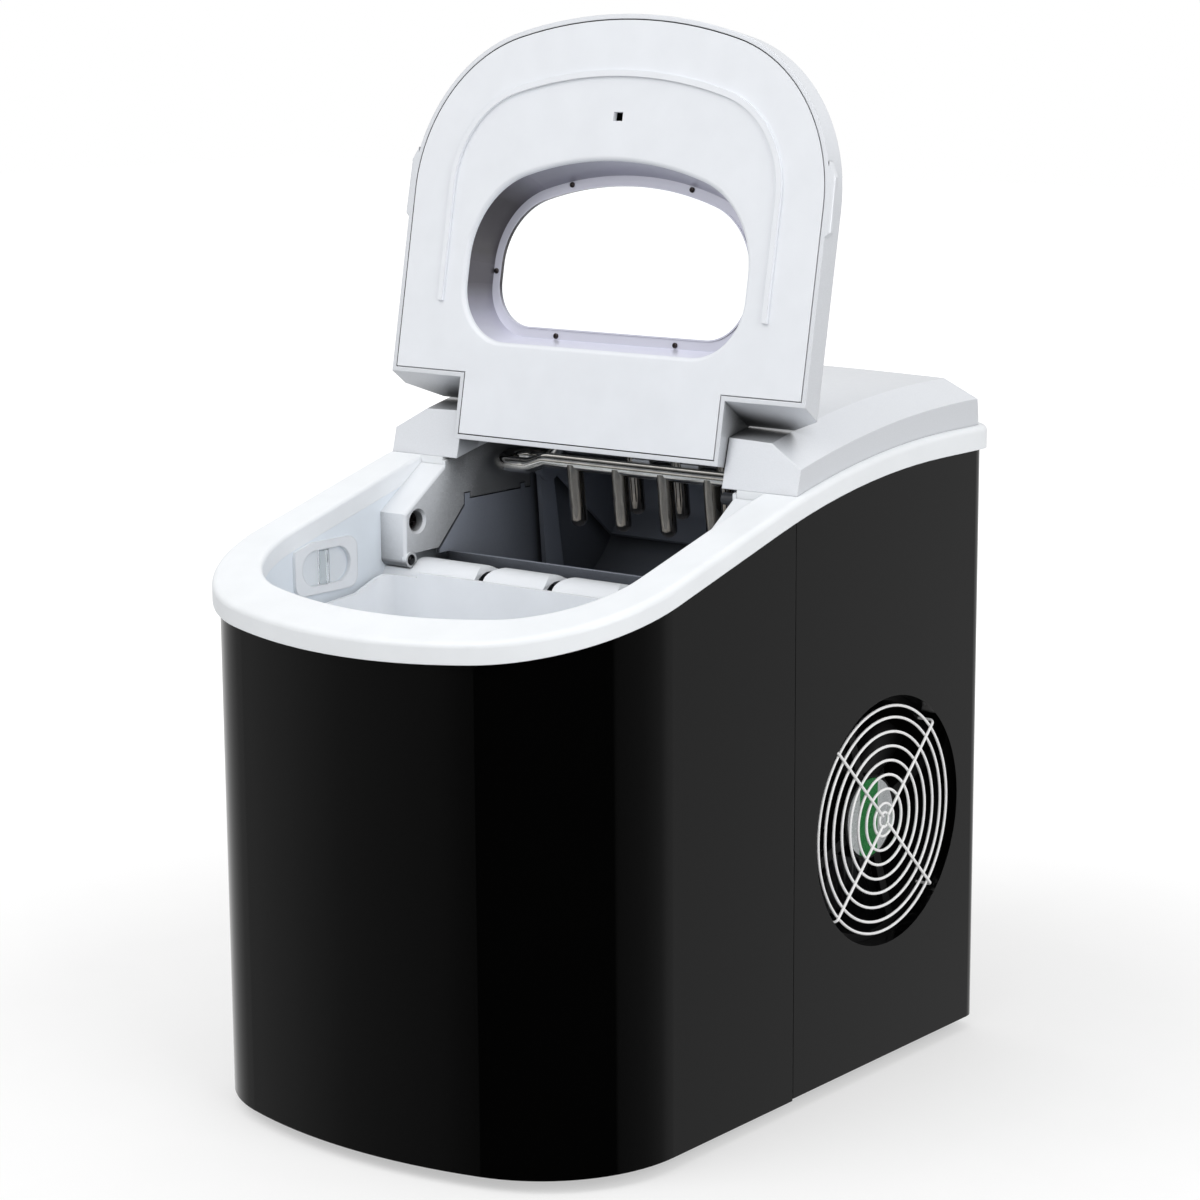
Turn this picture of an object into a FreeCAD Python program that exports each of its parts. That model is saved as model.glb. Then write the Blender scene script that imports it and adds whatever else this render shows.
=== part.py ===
import FreeCAD, Part
import math
import os
from FreeCAD import Placement, Rotation
from FreeCAD import Vector as V

# Countertop ice maker with a hinged lid, millimetres.
# Frame: +Z up, front towards -Y, origin at the bottom centre of the body on the table.

# ---------------------------------------------------------------- driving dimensions
# Body shells
shell_half = 117.7          # half width of the black shells
shell_front = -161.55       # foremost point of the bowed front
shell_back = 161.55
bow_radius = 242.7          # plan radius of the bowed front
front_corner = 70.4         # plan radius of the front corners
rear_corner = 10.0
shell_wall = 2.2
louvre_y = 84.0             # middle of the air slots in the left side
louvre_half = 19.0
louvre_low = 66.0
louvre_pitch = 10.0
louvre_rows = 11
louvre_round = 2.0          # half the slots' height
louvre_web = 10.0           # between the two columns of slots
flange_thick = 1.6          # turned-in foot of the front shell
flange_width = 5.0
collar_end = 0.5            # the fan's collar stops this short of the side
gland_x = -62.0             # cord inlet in the back
gland_z = 40.0
gland_radius = 7.0
gland_bore = 3.6
gland_flange = 2.4
gland_sleeve = 10.0
foot_height = 6.0
foot_radius = 10.0
foot_taper = 1.8
foot_x = 88.0
foot_y_front = -105.0
foot_y_rear = 138.0
seam_y = 4.45               # where the front shell meets the rear shell
seam_gap = 0.5
pan_thickness = 2.5
pan_rim = 12.0
fit = 0.3                   # gap between pieces that are pushed into each other
back_screw_inset = 19.7     # screws in the back, from the sides, the bottom and the rim
back_screw_low = 28.0
back_screw_high = 252.0
back_screw_radius = 3.6

# Cutting shapes and joined shapes
far = 400.0                 # past the whole part
past = 1.0                  # past one face
lap = 0.1                   # how far joined pieces run into each other

# The rim line of the body, seen from the side: a straight slope, an arc, then level
rim_slope = 15.6            # degrees
rim_slope_end = -12.0       # y where the slope runs into the arc
rim_zero = 271.2            # height of the sloping line where it would cross y = 0
rim_arc = 483.0

# Top frame, the white ring
frame_overhang = 3.3
frame_rise = 9.4            # height of the ring on the slope
frame_arc = 529.0
frame_round = 3.0
opening_half = 99.3         # the opening inside the ring
opening_front = -141.7
opening_bow = 223.0
opening_corner = 52.0
step_y = 4.0                # behind this the ring widens to carry the cover's ears
step_half = 86.0
opening_back = 148.0
skirt_depth = 6.0
skirt_wall = 2.0
mouth_round = 1.8           # soft inner edge of the ring

# Rear cover
cover_overhang = 0.3        # past the shells' sides
cover_back = 157.5
cover_front = 4.5
cover_lean = 0.257          # the ears' fronts lean back by this much for each mm of height
cover_side_rise = 20.1      # rim line to the top of the upright side wall
cover_side_arc = 575.0
cover_top_rise = 29.4       # rim line to the edge of the top face
cover_top_arc = 560.0
cover_bevel = 17.4
cover_crown = 1.5
cover_wall = 2.4
recess_half = 77.5          # between the ears
recess_back = 36.4
cover_corner = 7.0
cover_sink = 4.0            # the inside's form runs this far below the ring
cover_stations = (-6, 8, 22, 38, 56, 76, 96, 116, 136, 152, 172)

# Lid, in its own frame: s runs from the hinge end to the front, t from the underside outwards
lid_overhang = 2.2          # past the shells' sides
lid_front = 199.0
lid_bow = 236.0
lid_corner = 77.5
lid_side = 10.3             # upright part of the edge
lid_thick = 19.3
lid_wall = 2.2
tongue_half = 76.9
notch_s = 29.0
notch_lean = 0.49
panel_thick = 2.5
panel_gap = 0.5
tongue_boss = 8.0           # bosses round the hinge pins, inside the tongue
lid_seat_y = 2.0            # where the end of the underside stands when the lid is open
lid_seat_z = 291.5
lid_open_lean = 10.75       # degrees past upright
hinge_s = 11.7
hinge_t = 13.5
hinge_pin_radius = 3.0
hinge_pin_fit = 0.06
window_half = 83.0
window_front = 135.0
window_back = 45.2
window_bow = 170.0
window_corner = 45.0
window_low_corner = 28.0
window_lip = (2.2, 2.3, 1.5)      # insets at side, front and hinge end: rolled edge of the panel
window_foot = (6.5, 7.0, 5.5)     # foot of the well's leaning walls
window_sight = (11.2, 11.9, 10.5)  # edge of the clear view
window_wall = 1.4
window_depth = 15.6
window_seat = 5.0           # flange of the well behind the panel
bead_width = 0.7            # thin bead beside the pane
bead_height = 0.5
pane_lap = 3.0              # how far the pane reaches under the ledge
window_screw_inset = 1.6
window_screw_x = 34.7
window_screw_s = 80.7
window_screw_radius = 1.3
window_screw_height = 0.9
ridge_half = 95.3
ridge_front = 173.5
ridge_width = 2.8
ridge_height = 1.4
ridge_start = 64.0
ridge_bow = 219.0
ridge_corner = 48.0
latch_s = 152.6
latch_half = 2.6
latch_width = 4.0
grip_start = 104.0          # finger lips on the lid's sides
grip_end = 132.0
grip_reach = 2.4
grip_thick = 3.0

# Controls let into the rear cover
fascia_x = 0.0
fascia_half = 33.0
fascia_front = 106.0
fascia_back = 138.0
fascia_under = 313.0
fascia_ledge = 3.0
fascia_ledge_thick = 1.6
post_radius = 2.0
board_top = 303.0
board_thick = 1.6
board_reach = 6.0           # past the fascia's sides
switch_radius = 3.0
button_y = 118.0
button_places = (-16.0, 16.0)
button_length = 20.0
button_width = 9.0
button_low = 309.0
button_proud = 0.8
button_collar = 1.5
switch_gap = 1.8            # room under a button for its 1 mm stroke
lamp_y = 131.0
lamp_count = 5
lamp_pitch = 11.0
lamp_radius = 1.6

# Cavity liner, basket and ramp
liner_wall = 2.0
liner_floor = 16.0
shelf_z = 186.0             # floor under the freezing mechanism
shelf_y = -2.0              # the deep front bay ends here
basket_half = 96.0
basket_back = -26.5
basket_floor = 119.0
basket_rim = 232.0
basket_wall = 2.0
basket_corner = 9.0
basket_slope = 17.0         # the side rims fall this far at the front
basket_knee = 22.0          # where they level out, before the back
basket_dip = 2.5            # rear rim under the eyes' line of sight
basket_dip_half = 74.0
basket_slot = 4.0
basket_slot_pitch = 18.0
basket_slot_front = -110.0
basket_slot_back = -45.0
ledge_width = 7.0           # ledges in the liner that carry the basket
ledge_thick = 4.0
ledge_front = -95.0
ledge_back = -35.0
ramp_top = 236.2
ramp_front = -25.4
ramp_back = 5.0
ramp_nose = 12.0
ramp_pitch = 41.0
ramp_slot = 5.0
ramp_thick = 2.6
ramp_skirt = 10.0           # front of the ramp below its nose
ramp_flare = 4.0            # round shoulders of the slots
ramp_slot_low = 12.0        # solid foot of the ramp's front
sight_y = -64.6             # sight lens in the left wall
sight_z = 237.8
sight_radius = 8.2
sight_reach = 7.8
sight_tube = 3.6
bezel_side = 13.0
bezel_top = 4.0
bezel_corner = 6.0
bezel_thick = 1.8
lens_set = 0.8              # the lens lies this far behind the liner's face
lamp_clear = 1.0            # between the lens's closed back and the shell
lamp_rim = 3.0
eye_y = -22.2               # infrared eyes across the basket
eye_z = 236.2
eye_radius = 2.6
eye_collar = 3.7
eye_proud = 1.6
eye_depth = 3.0
collar_proud = 0.8
eye_screw_y = -16.5
eye_screw_z = 253.7
eye_screw_radius = 4.2
sensor_bore = 4.8           # counterbore of the screw
bore_flare = 1.2
sensor_wall = 2.0
sensor_round = 1.5
sensor_front = 25.5         # height of the upright front
sensor_lean = 0.683         # rise of the sloping face for each mm back
sensor_drop = 3.7           # foot of the cover below the ramp's top
sensor_shelf = 9.6          # the side plates' shelf below the tray's axis
screw_depth = 6.0

# Freezing mechanism
pivot_y = 72.0              # axis of the tilting tray
pivot_z = 270.0
tray_half = 77.5
tray_reach = 64.0           # from the axis to the tray's front
tray_tail = 10.0            # from the axis to the tray's back
tray_deep = 25.0
tray_wall = 2.0
tray_front_round = 14.0
tray_back_round = 8.0
tray_lug = 7.0              # round lugs at the axis
tray_tilt = 140.0           # the tray is emptied at rest
shaft_radius = 2.5
shaft_fit = 0.05
shaft_drive = 9.0           # the driven end reaches into the motor
shaft_end = 4.0
motor_front = 66.4
motor_back = 106.0
motor_low = 250.0
motor_high = 281.0
motor_gap = 0.4
motor_round = 4.0
trough_radius = 72.5
trough_wall = 2.0
housing_half = 84.0
housing_plate = 2.0
housing_edge = 33.5         # the side plates' foot below the tray's axis
housing_shelf = 10.2
sensor_front_gap = -1.2     # front of the side plates, behind the eyes' covers
drip_slot = 3.0             # slots that drain the trough
drip_pitch = 20.0
boss_radius = 4.0
boss_places = ((28.0, 234.0), (108.0, 226.0))
shovel_radius = 68.2
shovel_thick = 2.3
shovel_span = 30.0          # degrees of the comb
shovel_notch = 9.0
shovel_gap = 6.0
shovel_hub = 6.0
shovel_arm_gap = 1.0        # between the tray's ends and the arms
shovel_side_gap = 2.8       # between the arms and the side plates
finger_radius = 4.0
finger_length = 28.5
finger_pitch = 26.5
finger_count = 4
tube_radius = 3.6
row_front_y = 30.0
row_gap = 28.0
tube_z = 280.6
loop_gap = 20.0             # width of the tube's left loop
loop_drop = 3.8
loop_end = -77.0
loop_clear = 8.0            # from the right loop to the side plate
evaporator_tilt = 6.5       # degrees, rear row higher
bracket_thick = 1.6
bracket_width = 20.0
strap_width = 10.0
strap_places = (13.0, 41.0)
housing_top = 292.0
shovel_lead = 262.0         # angle about the tray's axis where the comb begins

# Water
pump_x = 86.5
pump_y = -18.0
pump_radius = 12.0
pump_height = 34.0
pump_outlet = 4.5
pump_neck = 8.0
hose_radius = 3.5
hose_x = 92.0
hose_y = 44.0
hose_top = 256.0
spout_y = 16.0
spout_z = 275.0
spout_radius = 2.8
spout_bore = 1.8
spout_reach = 7.0
float_x = 80.0
float_y = -90.0
float_radius = 11.0
float_height = 14.0
stem_radius = 2.5
stem_height = 70.0
stem_stop = 5.0
drain_y = -60.0
drain_z = 28.0
drain_bore = 5.0
drain_wall = 2.0
drain_cap_thick = 2.6
drain_plug = 14.0

# Fan in the right-hand side
fan_y = 80.45
fan_z = 120.4
fan_opening = 58.7
fan_square = 120.0
fan_depth = 25.4
fan_bore = 55.0
fan_hub = 20.0
fan_set = 10.1              # how far the fan stands behind the side
fan_blades = 7
blade_gap = 1.6
blade_thick = 1.6
blade_camber = 0.12
fan_flange = 4.0
fan_corner = 6.0
cup_depth = 11.0
label_thick = 0.4
rotor_shaft = 2.0
strut_width = 5.0
strut_turn = 20.0           # degrees
blade_root_pitch = 50.0     # degrees from the plane of the fan
blade_tip_pitch = 32.0
guard_wire = 0.55           # half the wire's thickness
guard_set = 1.5
guard_reach = 57.3
guard_rings = 9
guard_pitch = 6.7
guard_outer = 53.6
guard_step = 5.5            # the two outermost rings are closer together

# Cooling circuit
compressor_x = -38.0
compressor_y = 84.0
compressor_radius = 50.0
compressor_height = 132.0
compressor_round = 20.0
belt_low = 62.0             # weld belt round the pot
belt_high = 68.0
belt_proud = 1.5
mount_height = 13.0
mount_radius = 7.0
plate_thick = 2.5
condenser_gap = 4.2         # clear space before the fan
condenser_depth = 26.0
condenser_fins = 18
condenser_half = 56.0
condenser_tube = 3.2
condenser_rows = (-38.0, 0.0, 38.0)
fin_thick = 1.0
foot_bar = 3.0
terminal_reach = 19.0
terminal_low = 62.0
terminal_high = 108.0
mount_reach = 44.0
drier_x = 30.0
drier_y = 30.0
drier_radius = 8.0
drier_low = 40.0
drier_high = 110.0
drier_cone = 12.0
valve_low = 132.0
valve_high = 158.0
valve_stem = 5.0
line_radius = 2.4
valve_y = 62.0
line_places = (-52.0, -60.0)  # where the two lines pass the shelf behind the housing
line_back = 143.2
line_over = 172.0           # height of the lines above the compressor
line_z = 294.0

# Places that follow from the sizes above
sensor_low = ramp_top - sensor_drop
cover_half = shell_half + cover_overhang
lid_half = shell_half + lid_overhang
fan_face_x = shell_half - fan_set
guard_x = shell_half - guard_set
condenser_x = fan_face_x - fan_depth - condenser_gap - condenser_depth


# ---------------------------------------------------------------- helpers
def box(x0, x1, y0, y1, z0, z1):
    """Upright box between two corners."""
    return Part.makeBox(x1 - x0, y1 - y0, z1 - z0, V(x0, y0, z0))


def slab(y0, y1, z0, z1):
    """Block as wide as anything, between two heights and two places along Y."""
    return box(-far, far, y0, y1, z0, z1)


def rod(radius, start, end):
    """Round bar between two points."""
    start = V(*start)
    axis = V(*end) - start
    return Part.makeCylinder(radius, axis.Length, start, axis)


def ring(outer, inner, start, end):
    """Hollow round bar."""
    return rod(outer, start, end).cut(rod(inner, start, end))


def both_sides(shape):
    """The shape and its mirror image in the middle plane."""
    return [shape, shape.mirror(V(0, 0, 0), V(1, 0, 0))]


def fuse(shapes):
    """One solid from several that touch or overlap."""
    first = shapes[0]
    if len(shapes) > 1:
        first = first.multiFuse(shapes[1:])
    return first.removeSplitter()


def screw_head(radius, height, foot, axis):
    """Domed screw head with a cross recess, standing on its foot point."""
    foot = V(*foot)
    head = Part.makeCylinder(radius, height, foot, V(*axis))
    rim = [e for e in head.Edges if abs((e.CenterOfMass - foot).dot(V(*axis)) - height) < 0.01]
    head = head.makeFillet(height * 0.6, rim)
    arm = radius * 0.62
    bar = radius * 0.16
    recess = box(-arm, arm, -bar, bar, height * 0.45, height + past)
    recess = recess.fuse(box(-bar, bar, -arm, arm, height * 0.45, height + past))
    recess.Placement = Placement(foot, Rotation(V(0, 0, 1), V(*axis)))
    return head.cut(recess)


def prism_x(points, x0, x1):
    """Extrude a polygon of (y, z) points along X."""
    wire = Part.makePolygon([V(x0, y, z) for y, z in points] + [V(x0, *points[0])])
    return Part.Face(wire).extrude(V(x1 - x0, 0, 0))


def polar(radius, degrees):
    """(y, z) at an angle about the tray's axis."""
    turn = math.radians(degrees)
    return pivot_y + radius * math.cos(turn), pivot_z + radius * math.sin(turn)


def pipe(points, radius, bends):
    """Round pipe along straight runs, with one bend radius for each corner."""
    corners = [V(*p) for p in points]
    edges = []
    start = corners[0]
    for before, here, after, bend in zip(corners, corners[1:], corners[2:], bends):
        back = (before - here).normalize()
        ahead = (after - here).normalize()
        half = back.getAngle(ahead) / 2
        cut = bend / math.tan(half)
        first = here + back * cut
        last = here + ahead * cut
        middle = (back + ahead).normalize() * (bend / math.sin(half) - bend) + here
        edges.append(Part.makeLine(start, first))
        edges.append(Part.Arc(first, middle, last).toShape())
        start = last
    edges.append(Part.makeLine(start, corners[-1]))
    path = Part.Wire(edges)
    heading = (corners[1] - corners[0]).normalize()
    profile = Part.Wire(Part.makeCircle(radius, corners[0], heading))
    return path.makePipeShell([profile], True, True)


def flipped(point):
    """The mirror image of a point in the middle plane."""
    return V(-point.x, point.y, point.z)


def bowed_outline(half, front, bow, corner, back, back_corner=0.0, height=0.0):
    """Plan outline with a bowed front at -Y, straight sides and a straight back."""
    bow_y = front + bow
    side_x = half - corner
    side_y = bow_y - math.sqrt((bow - corner) ** 2 - side_x ** 2)
    lean_x = side_x / (bow - corner)
    lean_y = (side_y - bow_y) / (bow - corner)
    meet = V(bow * lean_x, bow_y + bow * lean_y, height)
    middle = V(lean_x + 1, lean_y, 0).normalize() * corner + V(side_x, side_y, height)
    right_side = V(half, side_y, height)
    edges = [
        Part.Arc(flipped(meet), V(0, front, height), meet).toShape(),
        Part.Arc(meet, middle, right_side).toShape(),
    ]
    right_end = V(half, back - back_corner, height)
    edges.append(Part.makeLine(right_side, right_end))
    last = right_end
    if back_corner > 0:
        last = V(half - back_corner, back, height)
        inset = back_corner * (1 - math.sqrt(0.5))
        edges.append(Part.Arc(right_end, V(half - inset, back - inset, height), last).toShape())
    edges.append(Part.makeLine(last, flipped(last)))
    if back_corner > 0:
        corner_mid = V(-half + inset, back - inset, height)
        edges.append(Part.Arc(flipped(last), corner_mid, flipped(right_end)).toShape())
    edges.append(Part.makeLine(flipped(right_end), flipped(right_side)))
    edges.append(Part.Arc(flipped(right_side), flipped(middle), flipped(meet)).toShape())
    return Part.Wire(edges)


def block(outline, z0, z1):
    """Upright solid over a plan outline."""
    face = Part.Face(outline)
    face.translate(V(0, 0, z0 - face.BoundBox.ZMin))
    return face.extrude(V(0, 0, z1 - z0))


def shell_block(inset, z0, z1, back_inset=None):
    """The body's plan, drawn in by the inset, as an upright solid."""
    back_inset = inset if back_inset is None else back_inset
    outline = bowed_outline(shell_half - inset, shell_front + inset, bow_radius - inset,
                            front_corner - inset, shell_back - back_inset,
                            max(rear_corner - inset, 1.0))
    return block(outline, z0, z1)


def line_height(y, rise, arc):
    """Height of a lengthwise line of the top: slope, arc, then level."""
    slope = math.radians(rim_slope)
    start_z = rim_zero + rim_slope_end * math.tan(slope) + rise
    centre_y = rim_slope_end + arc * math.sin(slope)
    centre_z = start_z - arc * math.cos(slope)
    if y <= rim_slope_end:
        return start_z + (y - rim_slope_end) * math.tan(slope)
    if y >= centre_y:
        return centre_z + arc
    return centre_z + math.sqrt(arc ** 2 - (centre_y - y) ** 2)


def below_line(rise, arc):
    """Everything under a lengthwise line of the top, as a wide solid."""
    centre_y = rim_slope_end + arc * math.sin(math.radians(rim_slope))
    half_way = (rim_slope_end + centre_y) / 2

    def place(y):
        return V(-far, y, line_height(y, rise, arc))

    top = [
        Part.makeLine(place(-far), place(rim_slope_end)),
        Part.Arc(place(rim_slope_end), place(half_way), place(centre_y)).toShape(),
        Part.makeLine(place(centre_y), place(far)),
        Part.makeLine(place(far), V(-far, far, -far)),
        Part.makeLine(V(-far, far, -far), V(-far, -far, -far)),
        Part.makeLine(V(-far, -far, -far), place(-far)),
    ]
    return Part.Face(Part.Wire(top)).extrude(V(2 * far, 0, 0))


def lid_outline(inset, t, back=0.0, half=lid_half, front=lid_front, bow=lid_bow, corner=lid_corner):
    """The lid's outline in its own frame, drawn in by the inset, with the hinge end at s = back."""
    outline = bowed_outline(half - inset, -(front - inset), bow - inset, corner - inset, -back)
    turned = outline.mirror(V(0, 0, 0), V(0, 1, 0))
    turned.translate(V(0, 0, -t))
    return turned


def window_outline(insets, t, grow=0.0):
    """The window's outline in the lid's frame at a depth, drawn in at side, front and hinge end."""
    side, front, back = [inset - grow for inset in insets]
    outline = bowed_outline(window_half - side, -(window_front - front), window_bow - front,
                            window_corner - (side + front) / 2, -(window_back + back),
                            window_low_corner - (side + back) / 2 * 0.7)
    turned = outline.mirror(V(0, 0, 0), V(0, 1, 0))
    turned.translate(V(0, 0, -t))
    return turned


def lid_block(outline, t0, t1):
    """Solid over an outline in the lid's frame, from depth t0 to t1."""
    face = Part.Face(Part.Wire(outline.Edges))
    face.translate(V(0, 0, -t0 - face.BoundBox.ZMax))
    return face.extrude(V(0, 0, -(t1 - t0)))


def place_lid(shape):
    """From the lid's frame to its open place on the body."""
    turn = Rotation(V(1, 0, 0), 90 - lid_open_lean)
    moved = shape.copy()
    moved.Placement = Placement(V(0, lid_seat_y, lid_seat_z), turn).multiply(moved.Placement)
    return moved


def lid_point(s, t):
    """(y, z) of a point of the open lid."""
    lean = math.radians(lid_open_lean)
    y = lid_seat_y + s * math.sin(lean) + t * math.cos(lean)
    z = lid_seat_z + s * math.cos(lean) - t * math.sin(lean)
    return y, z


hinge_y, hinge_z = lid_point(hinge_s, hinge_t)


# ---------------------------------------------------------------- casing
def side_cutter(radius, y, z):
    """Round cutter through the left side of the shells."""
    return rod(radius, (-shell_half - past, y, z), (-shell_half + shell_wall + past, y, z))


def front_shell():
    """Bowed front and both sides back to the seam, in one wrap."""
    top = line_height(shell_back, 0, rim_arc) + past
    wrap = shell_block(0, foot_height, top).cut(shell_block(shell_wall, 0, top + past))
    flange = shell_block(shell_wall - lap, foot_height, foot_height + flange_thick)
    flange = flange.cut(shell_block(shell_wall + flange_width, 0, top))
    wrap = wrap.fuse(flange)
    wrap = wrap.common(slab(-far, seam_y - seam_gap / 2, 0, far))
    wrap = wrap.common(below_line(0, rim_arc))
    return wrap.cut(side_cutter(drain_bore + drain_wall + 2 * fit, drain_y, drain_z)).removeSplitter()


def louvre(y, z):
    """One slot cut through the left side."""
    slot = box(-shell_half - past, -shell_half + shell_wall + past, y - louvre_half, y + louvre_half,
               z - louvre_round, z + louvre_round)
    ends = [side_cutter(louvre_round, y + side * louvre_half, z) for side in (-1, 1)]
    return slot.multiFuse(ends)


def rear_shell():
    """Both sides behind the seam and the back, with the fan opening and the air slots."""
    top = line_height(shell_back, 0, rim_arc) + past
    wrap = shell_block(0, foot_height + seam_gap + 0.4, top).cut(shell_block(shell_wall, 0, top + past))
    collar = rod(fan_opening + shell_wall, (fan_face_x, fan_y, fan_z), (shell_half - collar_end, fan_y, fan_z))
    wrap = wrap.fuse(collar)
    wrap = wrap.cut(rod(fan_opening, (fan_face_x - past, fan_y, fan_z), (shell_half + past, fan_y, fan_z)))
    wrap = wrap.common(slab(seam_y + seam_gap / 2, far, 0, far))
    wrap = wrap.common(below_line(0, rim_arc))
    column = louvre_half + louvre_round + louvre_web / 2
    slots = [louvre(y, louvre_low + row * louvre_pitch)
             for row in range(louvre_rows) for y in (louvre_y - column, louvre_y + column)]
    wrap = wrap.cut(Part.makeCompound(slots))
    gland_hole = rod(gland_radius, (gland_x, shell_back - shell_wall - past, gland_z),
                     (gland_x, shell_back + past, gland_z))
    return wrap.cut(gland_hole).removeSplitter()


def base_pan():
    """Floor tray that the shells stand round."""
    inset = shell_wall + fit
    pan = shell_block(inset, foot_height, foot_height + pan_rim)
    pan = pan.cut(shell_block(inset + pan_thickness, foot_height + pan_thickness, foot_height + pan_rim + past))
    relief = shell_block(0, 0, foot_height + flange_thick + fit)
    relief = relief.cut(shell_block(shell_wall + flange_width + fit, 0, foot_height + pan_rim))
    return pan.cut(relief.common(slab(-far, seam_y, 0, far))).removeSplitter()


def feet():
    """Four rubber feet under the pan."""
    places = [(side * foot_x, y) for side in (-1, 1) for y in (foot_y_front, foot_y_rear)]
    solids = []
    for x, y in places:
        lower = Part.makeCone(foot_radius - foot_taper, foot_radius, foot_taper, V(x, y, 0))
        upper = rod(foot_radius, (x, y, foot_taper), (x, y, foot_height))
        solids.append(lower.fuse(upper).removeSplitter())
    return Part.makeCompound(solids)


def top_frame():
    """White ring that caps the shells and frames the cavity."""
    outline = bowed_outline(shell_half + frame_overhang, shell_front - frame_overhang,
                            bow_radius + frame_overhang, front_corner + frame_overhang,
                            shell_back + frame_overhang, rear_corner + frame_overhang)
    body = block(outline, 0, far).common(below_line(frame_rise, frame_arc)).cut(below_line(0, rim_arc))
    body = body.makeFillet(frame_round, [e for e in body.Edges if on_top(e)])
    inset = shell_wall + fit
    skirt = shell_block(inset, 0, far).cut(shell_block(inset + skirt_wall, -past, far + past))
    skirt = skirt.common(below_line(lap, rim_arc)).cut(below_line(-skirt_depth, rim_arc))
    body = body.fuse(skirt).cut(block(cavity_outline(0), 0, far))
    body = body.makeFillet(mouth_round, [e for e in body.Edges if on_mouth(e)])
    rear_hole = box(-step_half, step_half, step_y - past, opening_back, 0, far)
    return body.cut(rear_hole).removeSplitter()


def near_top(point):
    """True for a point in the ring's upper surface."""
    return abs(point.z - line_height(point.y, frame_rise, frame_arc)) < 0.05


def on_top(edge):
    """True for an edge round the outside of the ring's upper surface."""
    middle = edge.valueAt((edge.FirstParameter + edge.LastParameter) / 2)
    across = abs(middle.x) < 1 and abs(middle.y) < shell_back
    return near_top(middle) and all(near_top(vertex.Point) for vertex in edge.Vertexes) and not across


def on_mouth(edge):
    """True for an edge of the mouth in the ring's upper surface, in front of the step."""
    middle = edge.valueAt((edge.FirstParameter + edge.LastParameter) / 2)
    points = [middle] + [vertex.Point for vertex in edge.Vertexes]
    within = all(abs(p.x) < opening_half + 0.05 and p.y > opening_front - 0.05 for p in points)
    return within and all(near_top(p) for p in points) and middle.y < step_y - 0.1


def cavity_outline(inset):
    """Plan of the opening in front of the step."""
    return bowed_outline(opening_half - inset, opening_front + inset, opening_bow - inset,
                         opening_corner - inset, step_y)


def cover_section(y, shrink):
    """Cross section of the rear cover, drawn in by its wall for the inside."""
    low = line_height(y, frame_rise, frame_arc) - (cover_sink if shrink else 0)
    side = line_height(y, cover_side_rise, cover_side_arc) - shrink * 0.6
    high = line_height(y, cover_top_rise, cover_top_arc) - shrink
    half = cover_half - shrink
    ridge = cover_half - cover_bevel - shrink * 0.4
    points = [V(-half, y, low), V(-half, y, side), V(-ridge, y, high)]
    crown = Part.Arc(points[2], V(0, y, high + cover_crown), V(ridge, y, high)).toShape()
    edges = [Part.makeLine(points[0], points[1]), Part.makeLine(points[1], points[2]), crown,
             Part.makeLine(V(ridge, y, high), V(half, y, side)),
             Part.makeLine(V(half, y, side), V(half, y, low)),
             Part.makeLine(V(half, y, low), points[0])]
    return Part.Wire(edges)


def cover_body(shrink):
    """Cover's outer form, or its inside when shrunk."""
    body = Part.makeLoft([cover_section(y, shrink) for y in cover_stations], True, False)
    front = cover_front + shrink
    back = cover_back - shrink
    low = line_height(cover_front, frame_rise, frame_arc)
    high = line_height(shell_back, cover_top_rise, cover_top_arc)

    def front_at(z):
        return front + (z - low) * cover_lean

    foot = low - shell_wall - far / 20
    keep = [(front_at(foot), foot), (back, foot), (back, high - 28.9), (back - 4.5, high - 16.4),
            (back - 8.5, high + 2), (back - 14, high + 20), (front_at(high + 20), high + 20)]
    body = body.common(prism_x(keep, -far, far))
    plan = bowed_outline(cover_half - shrink, -far, 1.5 * far, 40, back, cover_corner)
    return body.common(block(plan, 0, far))


def rear_cover():
    """Silver cover with the two ears that carry the lid."""
    outer = cover_body(0)
    cover = outer.cut(cover_body(cover_wall))
    gap = box(-recess_half, recess_half, -far, recess_back, 0, far)
    cover = cover.cut(gap)
    fence = box(-recess_half - cover_wall, recess_half + cover_wall, -far, recess_back + cover_wall, 0, far)
    cover = cover.fuse(fence.cut(gap).common(outer))
    reach = recess_half + cover_wall + fit + past
    cover = cover.cut(rod(hinge_pin_radius, (-reach, hinge_y, hinge_z), (reach, hinge_y, hinge_z)))
    pocket = box(fascia_x - fascia_half, fascia_x + fascia_half, fascia_front, fascia_back, board_top, far)
    return cover.cut(pocket).removeSplitter()


# ---------------------------------------------------------------- lid
def lid_form(inset, start):
    """The lid's form in its own frame, drawn in by a wall for the inside."""
    side_end = lid_side - inset / 2
    top_end = lid_thick - inset
    back = inset
    base = lid_outline(inset, 0, back)
    side = lid_block(base, start, side_end)
    low = lid_outline(inset, side_end, back)
    high = lid_outline(inset / 2 + cover_bevel, top_end, back)
    top = Part.makeLoft([low, high], True, True)
    form = side.fuse(top)
    for turn in (-1, 1):
        inner_x = tongue_half - inset
        corner = [(-5, -9), (notch_s + 9 * notch_lean + inset, -9),
                  (notch_s - 30 * notch_lean + inset, 30), (-5, 30)]
        wire = Part.makePolygon([V(inner_x * turn, s, -t) for s, t in corner + corner[:1]])
        form = form.cut(Part.Face(wire).extrude(V(150 * turn, 0, 0)))
    return form.removeSplitter()


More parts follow.
